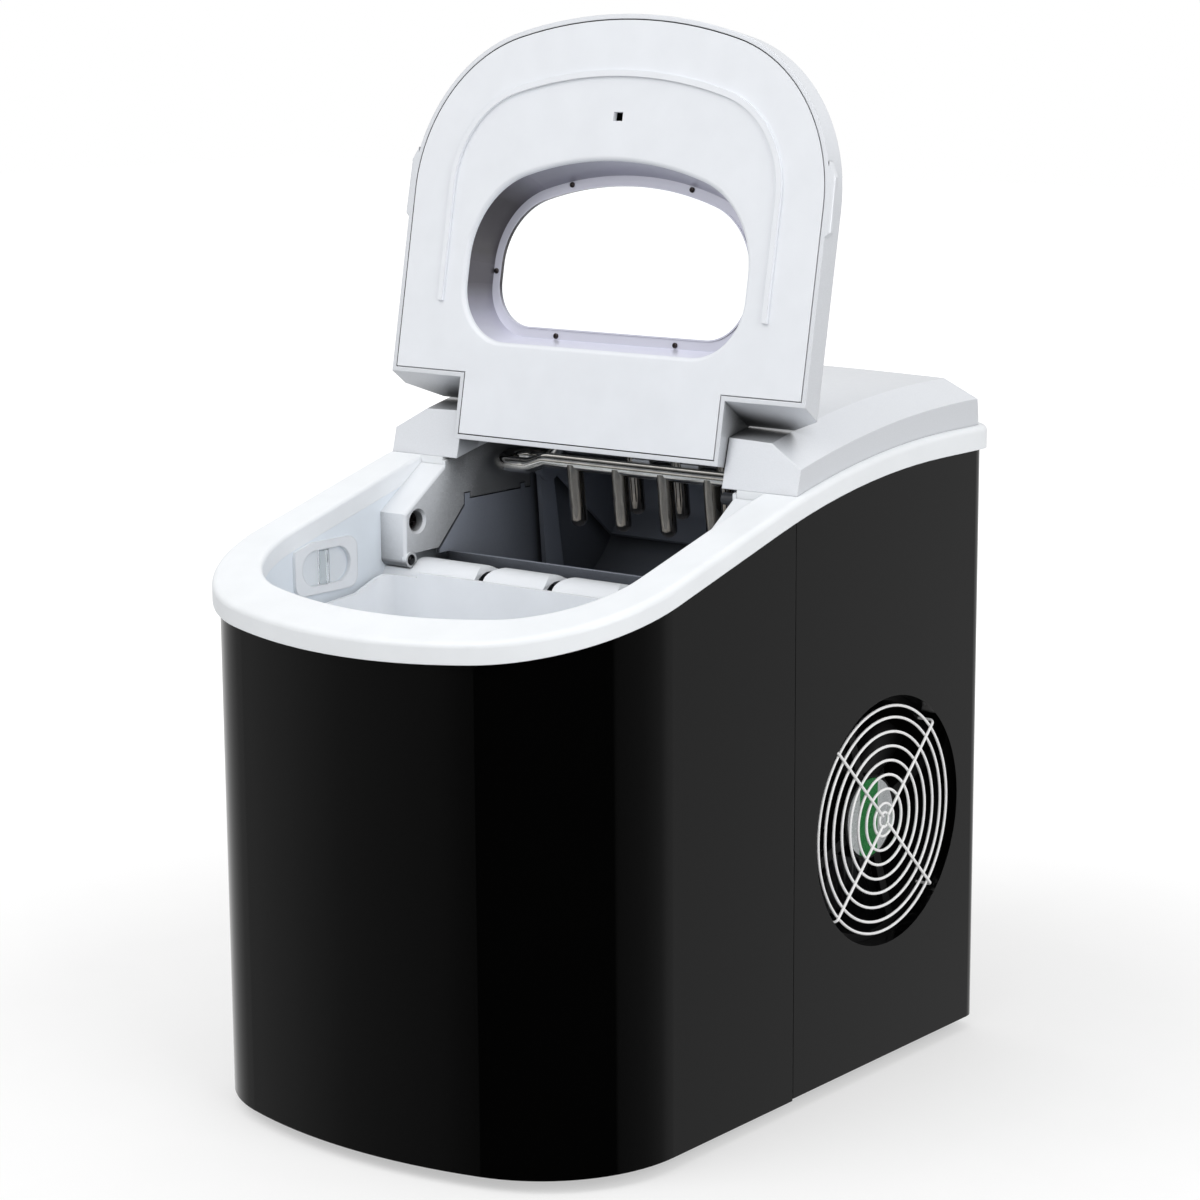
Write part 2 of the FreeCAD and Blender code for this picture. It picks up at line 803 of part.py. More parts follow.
def grip_lip():
    """Finger lip that stands out from the lid's right side, along its lower edge."""
    root = lid_half - lid_wall * 0.9
    plan = [(root, grip_start - 3), (lid_half + grip_reach, grip_start + 1),
            (lid_half + grip_reach * 0.8, grip_end - 3), (root, grip_end + 4)]
    wire = Part.makePolygon([V(x, s, 0) for x, s in plan + plan[:1]])
    lip = Part.Face(wire).extrude(V(0, 0, -grip_thick))
    tips = [e for e in lip.Edges if min(v.X for v in e.Vertexes) > lid_half]
    return lip.makeFillet(past, tips)


def lid_shell():
    """Silver outer shell of the lid, open on its underside."""
    shell = lid_form(0, 0).multiFuse(both_sides(grip_lip())).cut(lid_form(lid_wall, -past))
    shell = shell.cut(lid_block(window_outline(window_sight, 0, pane_lap + fit), -past, lid_thick + past))
    for turn in (-1, 1):
        boss = rod(hinge_pin_radius + lid_wall, ((tongue_half - tongue_boss - 1) * turn, hinge_s, -hinge_t),
                   ((tongue_half - 1) * turn, hinge_s, -hinge_t))
        shell = shell.fuse(boss)
    bore = hinge_pin_radius + hinge_pin_fit
    shell = shell.cut(rod(bore, (-tongue_half - past, hinge_s, -hinge_t), (tongue_half + past, hinge_s, -hinge_t)))
    return place_lid(shell.removeSplitter())


def lid_inner_panel():
    """Underside panel with its raised ridge and the rolled edge of the window's opening."""
    panel = lid_form(lid_wall + panel_gap, 0).common(slab(-far, far, -panel_thick, past))
    panel = panel.cut(lid_block(window_outline(window_lip, 0), -past, panel_thick + past))
    rolled = [e for e in panel.Edges if round_window(e)]
    panel = panel.makeFillet(window_lip[0] * 0.95, rolled)
    outer = lid_outline(0, 0, 0, ridge_half, ridge_front, ridge_bow, ridge_corner)
    inner = lid_outline(ridge_width, 0, 0, ridge_half, ridge_front, ridge_bow, ridge_corner)
    ridge = lid_block(outer, -ridge_height, lap).cut(lid_block(inner, -far, far))
    panel = panel.fuse(ridge.common(slab(ridge_start, far, -far, far)))
    latch = box(-latch_half, latch_half, latch_s - latch_width / 2, latch_s + latch_width / 2,
                -panel_thick - past, ridge_height + past)
    return place_lid(panel.cut(latch).removeSplitter())


def round_window(edge):
    """True for an edge of the window's opening in the underside."""
    middle = edge.CenterOfMass
    level = max(abs(vertex.Z) for vertex in edge.Vertexes) < 0.01
    return level and abs(middle.x) < window_half and window_back < middle.y < window_front


def lid_window_frame():
    """Deep well round the window: leaning walls, a ledge and a thin bead beside the pane."""
    ledge_end = window_depth + window_wall
    outer = Part.makeLoft([window_outline(window_lip, panel_thick, window_wall),
                           window_outline(window_foot, ledge_end, window_wall)], True, True)
    inner = Part.makeLoft([window_outline(window_lip, panel_thick), window_outline(window_foot, window_depth)],
                          True, True)
    seat = lid_block(window_outline(window_lip, 0, window_seat), panel_thick, panel_thick + window_wall)
    bead = lid_block(window_outline(window_sight, 0, bead_width), window_depth - bead_height, ledge_end)
    well = outer.fuse(seat).cut(inner).fuse(bead)
    well = well.cut(lid_block(window_outline(window_sight, 0), 0, lid_thick))
    return place_lid(well.removeSplitter())


def lid_window():
    """Clear pane on the ledge, flush with the lid's top."""
    start = window_depth + window_wall
    return place_lid(lid_block(window_outline(window_sight, 0, pane_lap), start, lid_thick))


def lid_window_screws():
    """Small screw heads along the foot of the well's walls."""
    side, front, back = [inset + window_screw_inset for inset in window_foot]
    bow = window_bow - front
    drop = bow - math.sqrt(bow ** 2 - window_screw_x ** 2)
    places = [(window_screw_x, window_front - front - drop), (window_screw_x, window_back + back),
              (window_half - side, window_screw_s)]
    heads = [screw_head(window_screw_radius, window_screw_height, (x * turn, s, -window_depth), (0, 0, 1))
             for x, s in places for turn in (-1, 1)]
    return place_lid(Part.makeCompound(heads))


def lid_hinge_pins():
    """Two pins from the cover's ears into the lid's tongue."""
    start = tongue_half - tongue_boss - 1
    end = recess_half + cover_wall + 1
    pins = [rod(hinge_pin_radius, (turn * start, hinge_y, hinge_z), (turn * end, hinge_y, hinge_z))
            for turn in (-1, 1)]
    return Part.makeCompound(pins)


# ---------------------------------------------------------------- controls
def obround(x, y, length, width, z0, z1):
    """Upright block with round ends, along X."""
    half = (length - width) / 2
    ends = [rod(width / 2, (x + side * half, y, z0), (x + side * half, y, z1)) for side in (-1, 1)]
    middle = box(x - half, x + half, y - width / 2, y + width / 2, z0, z1)
    return middle.multiFuse(ends).removeSplitter()


def fascia_top(y):
    """Height of the cover's crown at y."""
    return line_height(y, cover_top_rise, cover_top_arc) + cover_crown


def control_fascia():
    """Panel let into the cover, with posts for the board."""
    x0, x1 = fascia_x - fascia_half, fascia_x + fascia_half
    plate = box(x0 + fit, x1 - fit, fascia_front + fit, fascia_back - fit, fascia_under, far)
    plate = plate.common(cover_body(0))
    ledge = box(x0 - fascia_ledge, x1 + fascia_ledge, fascia_front - fascia_ledge, fascia_back + fascia_ledge,
                fascia_under, fascia_under + fascia_ledge_thick)
    posts = [rod(post_radius, (x, y, board_top), (x, y, fascia_under))
             for x in (x0 + 1, x1 - 1) for y in (fascia_front + 1, fascia_back - 1)]
    plate = plate.multiFuse([ledge] + posts)
    for x in button_places:
        plate = plate.cut(obround(x, button_y, button_length + 2 * fit, button_width + 2 * fit, board_top, far))
    for x in lamp_places():
        plate = plate.cut(rod(lamp_radius, (x, lamp_y, board_top), (x, lamp_y, far)))
    return plate.removeSplitter()


def lamp_places():
    """Where the row of lights stands, from left to right."""
    return [fascia_x + (place - (lamp_count - 1) / 2) * lamp_pitch for place in range(lamp_count)]


def push_button(x):
    """Key cap with the collar that keeps it under the fascia."""
    cap = obround(x, button_y, button_length, button_width, button_low, fascia_top(button_y) + button_proud)
    collar = obround(x, button_y, button_length + 2 * button_collar, button_width + 2 * button_collar,
                     button_low, fascia_under - fit)
    crown = [e for e in cap.Edges if e.CenterOfMass.z > fascia_top(button_y)]
    return cap.makeFillet(button_proud * 0.9, crown).fuse(collar).removeSplitter()


def indicator_lights():
    """Light guides between the board and the fascia."""
    guides = [rod(lamp_radius, (x, lamp_y, board_top), (x, lamp_y, fascia_top(lamp_y) - fit))
              for x in lamp_places()]
    return Part.makeCompound(guides)


def control_board():
    """Circuit board with a switch under each button."""
    reach = fascia_half + board_reach
    board = box(fascia_x - reach, fascia_x + reach, fascia_front - post_radius, fascia_back + post_radius,
                board_top - board_thick, board_top)
    switches = [rod(switch_radius, (x, button_y, board_top), (x, button_y, button_low - switch_gap))
                for x in button_places]
    return board.multiFuse(switches).removeSplitter()


# ---------------------------------------------------------------- cavity, basket and ramp
def bay_outline(inset, back, back_corner=0.0):
    """Plan of the deep front bay, drawn in by the inset."""
    return bowed_outline(opening_half - inset, opening_front + inset, opening_bow - inset,
                         opening_corner - inset, back, back_corner)


def window_slot(x0, x1, grow=0.0):
    """Round-ended slot in the left wall for the sight lens."""
    radius = sight_radius + grow
    ends = [rod(radius, (x0, sight_y + side * sight_reach, sight_z), (x1, sight_y + side * sight_reach, sight_z))
            for side in (-1, 1)]
    middle = box(x0, x1, sight_y - sight_reach, sight_y + sight_reach, sight_z - radius, sight_z + radius)
    return middle.multiFuse(ends).removeSplitter()


def tank_liner():
    """Light tub: deep bay for basket and water in front, shelf for the mechanism behind."""
    outer = block(bay_outline(-liner_wall, shelf_y + liner_wall), liner_floor - liner_wall, far)
    side = opening_half + liner_wall
    outer = outer.fuse(box(-side, side, shelf_y - liner_wall, opening_back + liner_wall,
                           shelf_z - liner_wall, far))
    outer = outer.common(below_line(0, rim_arc))
    inner = block(bay_outline(0, shelf_y), liner_floor, far)
    inner = inner.fuse(box(-opening_half, opening_half, shelf_y - 2 * liner_wall, opening_back, shelf_z, far))
    liner = outer.cut(inner)
    ledge = box(opening_half - ledge_width, opening_half + lap, ledge_front, ledge_back,
                basket_floor - ledge_thick, basket_floor)
    liner = liner.multiFuse(both_sides(ledge))
    liner = liner.cut(window_slot(-opening_half - liner_wall - past, -opening_half + past))
    liner = liner.cut(rod(drain_bore, (-opening_half - liner_wall - past, drain_y, drain_z),
                          (-opening_half + past, drain_y, drain_z)))
    holes = [rod(line_radius + 2 * fit, (x, line_back, shelf_z - liner_wall - past), (x, line_back, shelf_z + past))
             for x in line_places]
    return liner.cut(Part.makeCompound(holes)).removeSplitter()


def basket_form(inset, low, high):
    """The basket's form, drawn in by its wall for the inside."""
    outline = bay_outline(opening_half - basket_half + inset, basket_back - inset, basket_corner - inset)
    return block(outline, low, high)


def ice_basket():
    """Lift-out basket with a slotted floor, its rear rim dipped where the eyes look across."""
    shape = basket_form(0, basket_floor, basket_rim)
    shape = shape.cut(basket_form(basket_wall, basket_floor + basket_wall, basket_rim + past))
    knee_z = basket_rim - 9
    dip = basket_rim - basket_dip
    start = [(-far, basket_rim - basket_slope), (opening_front, basket_rim - basket_slope),
             (basket_back - basket_knee, knee_z)]
    side_rim = start + [(basket_back - 10, dip), (far, dip), (far, far), (-far, far)]
    shape = shape.cut(prism_x(side_rim, -far, -basket_dip_half))
    shape = shape.cut(prism_x(side_rim, basket_dip_half, far))
    front_rim = start + [(basket_back - 4, dip), (basket_back - 4, far), (-far, far)]
    shape = shape.cut(prism_x(front_rim, -far, far))
    half_count = int((basket_half - 2 * basket_corner) // basket_slot_pitch)
    slots = [box(place * basket_slot_pitch - basket_slot / 2, place * basket_slot_pitch + basket_slot / 2,
                 basket_slot_front, basket_slot_back, basket_floor - past, basket_floor + basket_wall + past)
             for place in range(-half_count, half_count + 1)]
    return shape.cut(Part.makeCompound(slots)).removeSplitter()


def ramp_cutter(x, low):
    """Slot between two lobes: round at the bottom, with round shoulders at the top."""
    wide = ramp_slot / 2
    crest = ramp_top + 0.01
    bend = ramp_flare * (1 - math.sqrt(0.5))
    front = ramp_front - past

    def at(side, along, z):
        return V(x + side * along, front, z)

    edges = [Part.Arc(at(-1, wide, low), V(x, front, low - wide), at(1, wide, low)).toShape()]
    for side in (1, -1):
        bottom, knee, shoulder = (at(side, wide, low), at(side, wide, crest - ramp_flare),
                                  at(side, wide + ramp_flare, crest))
        over = at(side, wide + ramp_flare, crest + past)
        edges += [Part.makeLine(bottom, knee), Part.Arc(knee, at(side, wide + bend, crest - bend), shoulder).toShape(),
                  Part.makeLine(shoulder, over)]
    edges.append(Part.makeLine(at(-1, wide + ramp_flare, crest + past), at(1, wide + ramp_flare, crest + past)))
    wire = Part.Wire(Part.__sortEdges__(edges))
    return Part.Face(wire).extrude(V(0, ramp_back - ramp_front + 2 * past, 0))


def ice_ramp():
    """Comb-like lip with a rounded nose that the ice slides over."""
    low = ramp_top - ramp_nose - ramp_skirt
    centre_y = ramp_front + ramp_nose
    centre_z = ramp_top - ramp_nose
    diagonal = math.sqrt(0.5)

    def at(y, z):
        return V(-opening_half, y, z)

    inner_nose = ramp_nose - ramp_thick
    under = ramp_top - ramp_thick
    edges = [
        Part.makeLine(at(ramp_front, low), at(ramp_front, centre_z)),
        Part.Arc(at(ramp_front, centre_z),
                 at(centre_y - ramp_nose * diagonal, centre_z + ramp_nose * diagonal),
                 at(centre_y, ramp_top)).toShape(),
        Part.makeLine(at(centre_y, ramp_top), at(ramp_back, ramp_top)),
        Part.makeLine(at(ramp_back, ramp_top), at(ramp_back, under)),
        Part.makeLine(at(ramp_back, under), at(centre_y, under)),
        Part.Arc(at(centre_y, under),
                 at(centre_y - inner_nose * diagonal, centre_z + inner_nose * diagonal),
                 at(ramp_front + ramp_thick, centre_z)).toShape(),
        Part.makeLine(at(ramp_front + ramp_thick, centre_z), at(ramp_front + ramp_thick, low)),
        Part.makeLine(at(ramp_front + ramp_thick, low), at(ramp_front, low)),
    ]
    ramp = Part.Face(Part.Wire(edges)).extrude(V(2 * opening_half, 0, 0))
    end = housing_half - fit
    ends = slab(-far, far, sensor_low - fit - 0.3, far).cut(box(-end, end, -far, far, 0, far))
    ramp = ramp.cut(ends)
    cutters = [ramp_cutter(place * ramp_pitch, low + ramp_slot_low) for place in (-1, 0, 1)]
    cutters += both_sides(rod(eye_collar + fit, (-opening_half, eye_y, eye_z),
                              (-housing_half + collar_proud + fit, eye_y, eye_z)))
    return ramp.cut(Part.makeCompound(cutters)).removeSplitter()


def sight_bezel():
    """Raised frame round the sight lens on the left wall."""
    half_y, half_z = sight_reach + bezel_side, sight_radius + bezel_top
    x0, x1 = -opening_half, -opening_half + bezel_thick
    plate = box(x0, x1, sight_y - half_y, sight_y + half_y, sight_z - half_z, sight_z + half_z)
    plate = plate.makeFillet(bezel_corner, [e for e in plate.Edges if abs(e.Vertexes[0].X - e.Vertexes[1].X) > lap])
    bezel = plate.common(below_line(-2 * fit, rim_arc)).cut(window_slot(x0 - past, x1 + past))
    return bezel.removeSplitter()


def sight_lens():
    """Clear lens with an upright light tube behind the bezel."""
    face = -opening_half - lens_set
    plate = window_slot(-opening_half - liner_wall, face)
    reach = sight_radius - past
    tube = rod(sight_tube, (face, sight_y, sight_z - reach), (face, sight_y, sight_z + reach))
    tube = tube.common(box(face - lens_set, 0, -far, far, 0, far))
    return plate.fuse(tube).removeSplitter()


def lamp_housing():
    """Closed back of the sight lens, between the liner and the shell."""
    x1 = -opening_half - liner_wall
    x0 = -shell_half + shell_wall + lamp_clear
    half_y = sight_reach + sight_radius + lamp_rim
    high = line_height(sight_y - half_y, -fit, rim_arc)
    housing = box(x0, x1, sight_y - half_y, sight_y + half_y, sight_z - sight_radius - lamp_rim, high)
    skirt = box(-far, x0 + fit + skirt_wall, -far, far, 0, far).cut(below_line(-skirt_depth - fit, rim_arc))
    return housing.cut(skirt)


def sensor_cover(turn):
    """Housing on the cavity's side wall for an infrared eye."""
    front = ramp_front - lap
    low = sensor_low
    chamfer_z = low + sensor_front
    back = step_y - fit
    peak = chamfer_z + (back - front) * sensor_lean
    shelf = pivot_z - sensor_shelf
    points = [(front, low), (front + 6, low), (front + 6, low + 6.4), (-2, low + 6.7), (16.8, shelf - 2.8),
              (16.8, shelf + 2.8), (21.8, shelf + 2.8), (21.8, shelf), (58.4, shelf), (58.4, shelf + 2.5),
              (63, shelf + 2.5), (63, shelf), (66, shelf), (66, far), (back, far), (back, peak), (front, chamfer_z)]
    cover = prism_x(points, -opening_half, -housing_half)
    inner_strip = below_line(frame_rise - sensor_round, frame_arc).common(box(-step_half, 0, 0, far, 0, far))
    limit = slab(-far, back, 0, far).multiFuse([below_line(-lap, rim_arc), inner_strip])
    cover = cover.common(limit)
    cover = cover.makeFillet(eye_collar - lap, [e for e in cover.Edges if runs_along(e, front, low)])
    soft = [e for e in cover.Edges if on_sensor_rim(e, front, chamfer_z)]
    cover = cover.makeFillet(sensor_round, soft)
    inner = front + sensor_wall
    pocket = prism_x([(inner + 1, low + 2), (front + 4, low + 2), (front + 4, low + 8.5), (-4, low + 8.8),
                      (14.8, shelf - 2), (14.8, shelf + 4.8), (64, shelf + 4.8), (64, 278), (3, 268),
                      (step_y - 2.3, chamfer_z + 17), (inner, chamfer_z - 1), (inner, low + 5)],
                     -opening_half - past, -housing_half - sensor_wall)
    cover = cover.cut(pocket)
    screw = (eye_screw_y, eye_screw_z)
    floor = -housing_half - screw_depth
    seat = rod(sensor_bore + bore_flare, (floor - sensor_wall, *screw), (-housing_half - lap, *screw))
    bore = rod(sensor_bore, (floor, *screw), (-housing_half + past, *screw))
    mouth = Part.makeCone(sensor_bore, sensor_bore + bore_flare, bore_flare, V(-housing_half - bore_flare, *screw),
                          V(1, 0, 0))
    cover = cover.fuse(seat).cut(bore.fuse(mouth))
    collar = rod(eye_collar, (-housing_half - sensor_wall, eye_y, eye_z),
                 (-housing_half + collar_proud, eye_y, eye_z))
    socket = rod(eye_radius, (-housing_half - eye_depth, eye_y, eye_z), (-housing_half + past, eye_y, eye_z))
    cover = cover.fuse(collar).cut(socket).removeSplitter()
    return cover if turn < 0 else cover.mirror(V(0, 0, 0), V(1, 0, 0))


def runs_along(edge, y, z):
    """True for an edge along X at the given place."""
    middle = edge.CenterOfMass
    return abs(middle.y - y) < 0.01 and abs(middle.z - z) < 0.01


def on_sensor_rim(edge, front, chamfer_z):
    """True for the edges between a sensor cover's inner face and its front and sloping faces."""
    ends = [vertex.Point for vertex in edge.Vertexes]
    if any(abs(p.x + housing_half) > 0.01 for p in ends):
        return False
    upright = all(abs(p.y - front) < 0.01 for p in ends)
    sloping = all(abs(p.z - chamfer_z - (p.y - front) * sensor_lean) < 0.01 for p in ends)
    return upright or sloping


def sensor_screws():
    """Screw heads at the bottom of the covers' counterbores."""
    foot = (-housing_half - screw_depth, eye_screw_y, eye_screw_z)
    return Part.makeCompound(both_sides(screw_head(eye_screw_radius, 2.4, foot, (1, 0, 0))))


def infrared_eyes():
    """Sender and receiver that look across the basket."""
    front = -housing_half + eye_proud
    body = rod(eye_radius, (-housing_half - eye_depth, eye_y, eye_z), (front, eye_y, eye_z))
    rim = [e for e in body.Edges if abs(e.CenterOfMass.x - front) < 0.01]
    return Part.makeCompound(both_sides(body.makeFillet(eye_radius * 0.7, rim)))


# ---------------------------------------------------------------- freezing mechanism
def tray_housing():
    """Dark trough with side plates that the tray hangs in."""
    shelf = pivot_z - housing_shelf
    outer = trough_radius + trough_wall
    edge_z = pivot_z - housing_edge
    back_y = pivot_y + math.sqrt(outer ** 2 - housing_edge ** 2)
    front_y = sensor_front_gap
    points = [(front_y, edge_z + 1.4), (17.4, shelf - 3), (17.4, shelf + 2.8), (21.2, shelf + 2.8), (21.2, shelf),
              (59, shelf), (59, shelf + 2.5), (62.4, shelf + 2.5), (62.4, shelf), (66.6, shelf),
              (66.6, housing_top), (back_y, housing_top), (back_y, pivot_z - outer), (front_y, pivot_z - outer)]
    axis = ((-far, pivot_y, pivot_z), (far, pivot_y, pivot_z))
    keep = rod(outer, *axis).fuse(slab(-far, back_y, edge_z, far))
    plate = prism_x(points, -housing_half - housing_plate, -housing_half).common(keep)
    trough = ring(outer, trough_radius, (-housing_half, pivot_y, pivot_z), (housing_half, pivot_y, pivot_z))
    trough = trough.common(slab(-far, far, 0, edge_z))
    back = box(-housing_half, housing_half, back_y - trough_wall, back_y, edge_z, housing_top)
    parts = both_sides(plate) + [trough, back]
    for y, z in boss_places:
        boss = rod(boss_radius, (-opening_half, y, z), (-housing_half - housing_plate + lap, y, z))
        parts += both_sides(boss)
    housing = fuse(parts)
    half_count = int((housing_half - drip_pitch / 2) // drip_pitch)
    slots = [box((place - 0.5) * drip_pitch - drip_slot / 2, (place - 0.5) * drip_pitch + drip_slot / 2,
                 pivot_y - 24, pivot_y + 16, 0, pivot_z - shovel_radius * 0.7)
             for place in range(1 - half_count, half_count + 1)]
    housing = housing.cut(Part.makeCompound(slots))
    return housing.cut(rod(shaft_radius + shaft_fit, *axis)).removeSplitter()


def swung(shape, degrees):
    """The shape turned about the tray's axis."""
    moved = shape.copy()
    moved.rotate(V(0, pivot_y, pivot_z), V(1, 0, 0), degrees)
    return moved


def tray_box(inset):
    """The level tray's form, drawn in by its wall for the inside."""
    front = pivot_y - tray_reach + inset
    back = pivot_y + tray_tail - inset
    low = pivot_z - tray_deep - tray_wall + inset
    half = tray_half - inset
    top = pivot_z + (past if inset else 0)
    form = box(-half, half, front, back, low, top)
    form = form.makeFillet(tray_front_round - inset, [e for e in form.Edges if runs_along(e, front, low)])
    return form.makeFillet(tray_back_round - inset, [e for e in form.Edges if runs_along(e, back, low)])


def ice_tray():
    """Water tray that the fingers dip into, shown emptied."""
    tray = tray_box(0).cut(tray_box(tray_wall))
    lug = rod(tray_lug, (-tray_half, pivot_y, pivot_z), (tray_wall - tray_half, pivot_y, pivot_z))
    return swung(tray.multiFuse(both_sides(lug)).removeSplitter(), tray_tilt)


def tray_shafts():
    """Stub shafts on both ends of the tray."""
    left = rod(shaft_radius, (-tray_half, pivot_y, pivot_z), (-housing_half - shaft_drive, pivot_y, pivot_z))
    right = rod(shaft_radius, (tray_half, pivot_y, pivot_z), (housing_half + shaft_end, pivot_y, pivot_z))
    return Part.makeCompound([left, right])


def tray_motor():
    """Flat gear motor beside the housing that turns the tray."""
    face = -housing_half - housing_plate - motor_gap
    motor = box(-opening_half, face, motor_front, motor_back, motor_low, motor_high)
    corners = [e for e in motor.Edges if abs(e.Vertexes[0].X - e.Vertexes[1].X) > lap]
    motor = motor.makeFillet(motor_round, corners)
    socket = rod(shaft_radius + shaft_fit, (-housing_half - shaft_drive - shaft_end, pivot_y, pivot_z),
                 (face + past, pivot_y, pivot_z))
    return motor.cut(socket)


def ice_shovel():
    """Curved comb that sweeps the trough, on arms beside the tray."""
    outer = shovel_radius + shovel_thick
    arm_in = tray_half + shovel_arm_gap
    arm_out = housing_half - shovel_side_gap
    comb = ring(outer, shovel_radius, (-arm_out, pivot_y, pivot_z), (arm_out, pivot_y, pivot_z))
    lead, trail = shovel_lead, shovel_lead + shovel_span
    middle = (lead + trail) / 2
    sector = [(pivot_y, pivot_z), polar(1.5 * outer, lead), polar(1.5 * outer, middle), polar(1.5 * outer, trail)]
    comb = comb.common(prism_x(sector, -far, far))
    notch = [polar(outer / 2, lead - 4), polar(1.5 * outer, lead - 4), polar(1.5 * outer, lead + shovel_notch),
             polar(outer / 2, lead + shovel_notch)]
    for place in (-1, 0, 1):
        x = place * ramp_pitch
        comb = comb.cut(prism_x(notch, x - shovel_gap / 2, x + shovel_gap / 2))
    arm = prism_x([polar(shovel_hub - 0.5, middle - 60), polar(outer - 1, middle - 6), polar(outer - 1, middle + 6),
                   polar(shovel_hub - 0.5, middle + 60)], -arm_out, -arm_in)
    hub = rod(shovel_hub, (-arm_out, pivot_y, pivot_z), (-arm_in, pivot_y, pivot_z))
    bore = rod(shaft_radius + shaft_fit, (-arm_out - past, pivot_y, pivot_z), (-arm_in + past, pivot_y, pivot_z))
    return fuse([comb] + both_sides(arm.fuse(hub).cut(bore)))


def tilted(shape):
    """The evaporator's slight tilt, rear row higher."""
    moved = shape.copy()
    moved.rotate(V(0, row_front_y, tube_z), V(1, 0, 0), evaporator_tilt)
    return moved


def evaporator_route():
    """Evaporator tube before its tilt: down, along the rear row, back along the front row and up."""
    rear_y = row_front_y + row_gap
    loop_y = row_front_y + loop_gap
    right = housing_half - loop_clear
    low = tube_z - loop_drop
    wide = row_gap / 2 - lap
    tight = loop_gap / 2 - lap
    route = [(line_places[1], rear_y, line_z), (line_places[1], rear_y, tube_z), (right, rear_y, tube_z),
             (right, row_front_y, tube_z), (-44, row_front_y, tube_z), (-55, row_front_y, low),
             (loop_end, row_front_y, low), (loop_end, loop_y, low), (line_places[0], loop_y, low),
             (line_places[0], loop_y, line_z)]
    return pipe(route, tube_radius, [9, wide, wide, 12, 12, tight, tight, 9])


def evaporator_fingers():
    """Two staggered rows of freezing fingers under the tube."""
    bottom = tube_z - finger_length - tray_wall
    tube = evaporator_route()
    fingers = []
    for row in (0, 1):
        for place in range(finger_count):
            x = (place - 1 + row / 2) * finger_pitch
            y = row_front_y + row * row_gap
            stem = rod(finger_radius, (x, y, bottom + finger_radius), (x, y, tube_z))
            tip = Part.makeSphere(finger_radius, V(x, y, bottom + finger_radius))
            fingers.append(tilted(stem.fuse(tip).removeSplitter().cut(tube)))
    return Part.makeCompound([largest(finger) for finger in fingers])


def largest(shape):
    """The biggest solid of a shape."""
    return max(shape.Solids, key=lambda solid: solid.Volume)


def evaporator_tube():
    """The evaporator's tube in its place."""
    return tilted(evaporator_route())


def evaporator_bracket():
    """Plate between the side walls that the evaporator hangs from, with two straps over the tube."""
    under = tube_z + tube_radius
    top = under + bracket_thick
    front = row_front_y + row_gap / 2
    plate = box(-housing_half, housing_half, front, front + bracket_width, under, top)
    straps = [box(x - strap_width / 2, x + strap_width / 2, row_front_y, front + past, under, top)
              for x in strap_places]
    plate = plate.multiFuse(straps)
    gap = box(line_places[1] - 6, line_places[0] + 6, front - past, front + bracket_width - 2, under - past,
              top + past)
    return tilted(plate.cut(gap)).removeSplitter()


# ---------------------------------------------------------------- water
def water_pump():
    """Small pump at the bottom of the front bay."""
    top = liner_floor + pump_height
    body = rod(pump_radius, (pump_x, pump_y, liner_floor), (pump_x, pump_y, top))
    outlet = rod(pump_outlet, (pump_x, pump_y, top), (pump_x, pump_y, top + pump_neck))
    body = body.makeFillet(2, [e for e in body.Edges if abs(e.CenterOfMass.z - top) < lap])
    return body.fuse(outlet).removeSplitter()


def pump_hose():
    """Hose from the pump up past the shelf to the filling spout."""
    low = liner_floor + pump_height + pump_neck
    route = [(pump_x, pump_y, low), (pump_x, pump_y, low + 12), (hose_x, pump_y, 110), (hose_x, pump_y, 212),
             (hose_x, hose_y, 224), (hose_x, hose_y, hose_top)]
    return pipe(route, hose_radius, [6, 6, 8, 8])


def water_spout():
    """Filling spout over the level tray."""
    return ring(spout_radius, spout_bore, (tray_half - spout_reach, spout_y, spout_z),
                (housing_half, spout_y, spout_z))


def float_stem():
    """Guide for the float on the bay's right wall."""
    top = liner_floor + stem_height
    stem = rod(stem_radius, (float_x, float_y, liner_floor), (float_x, float_y, top))
    stop = rod(stem_stop, (float_x, float_y, top), (float_x, float_y, top + 2))
    return stem.fuse(stop).removeSplitter()


def water_float():
    """Ring float, down on the floor of the empty bay."""
    low = liner_floor + fit
    return ring(float_radius, stem_radius + fit + lap, (float_x, float_y, low), (float_x, float_y, low + float_height))


def drain_spout():
    """Short spout from the water bay to the left side."""
    start = -opening_half - liner_wall
    return ring(drain_bore + drain_wall, drain_bore, (start, drain_y, drain_z),
                (-shell_half + 2 * fit, drain_y, drain_z))


def drain_cap():
    """Pull-out rubber cap over the drain."""
    face = -shell_half - fit
    head = rod(drain_bore + 5, (face, drain_y, drain_z), (face - drain_cap_thick, drain_y, drain_z))
    rim = [e for e in head.Edges if abs(e.CenterOfMass.x - face + drain_cap_thick) < lap]
    plug = rod(drain_bore - fit - lap, (face + drain_plug, drain_y, drain_z), (face, drain_y, drain_z))
    return head.makeFillet(past, rim).fuse(plug).removeSplitter()


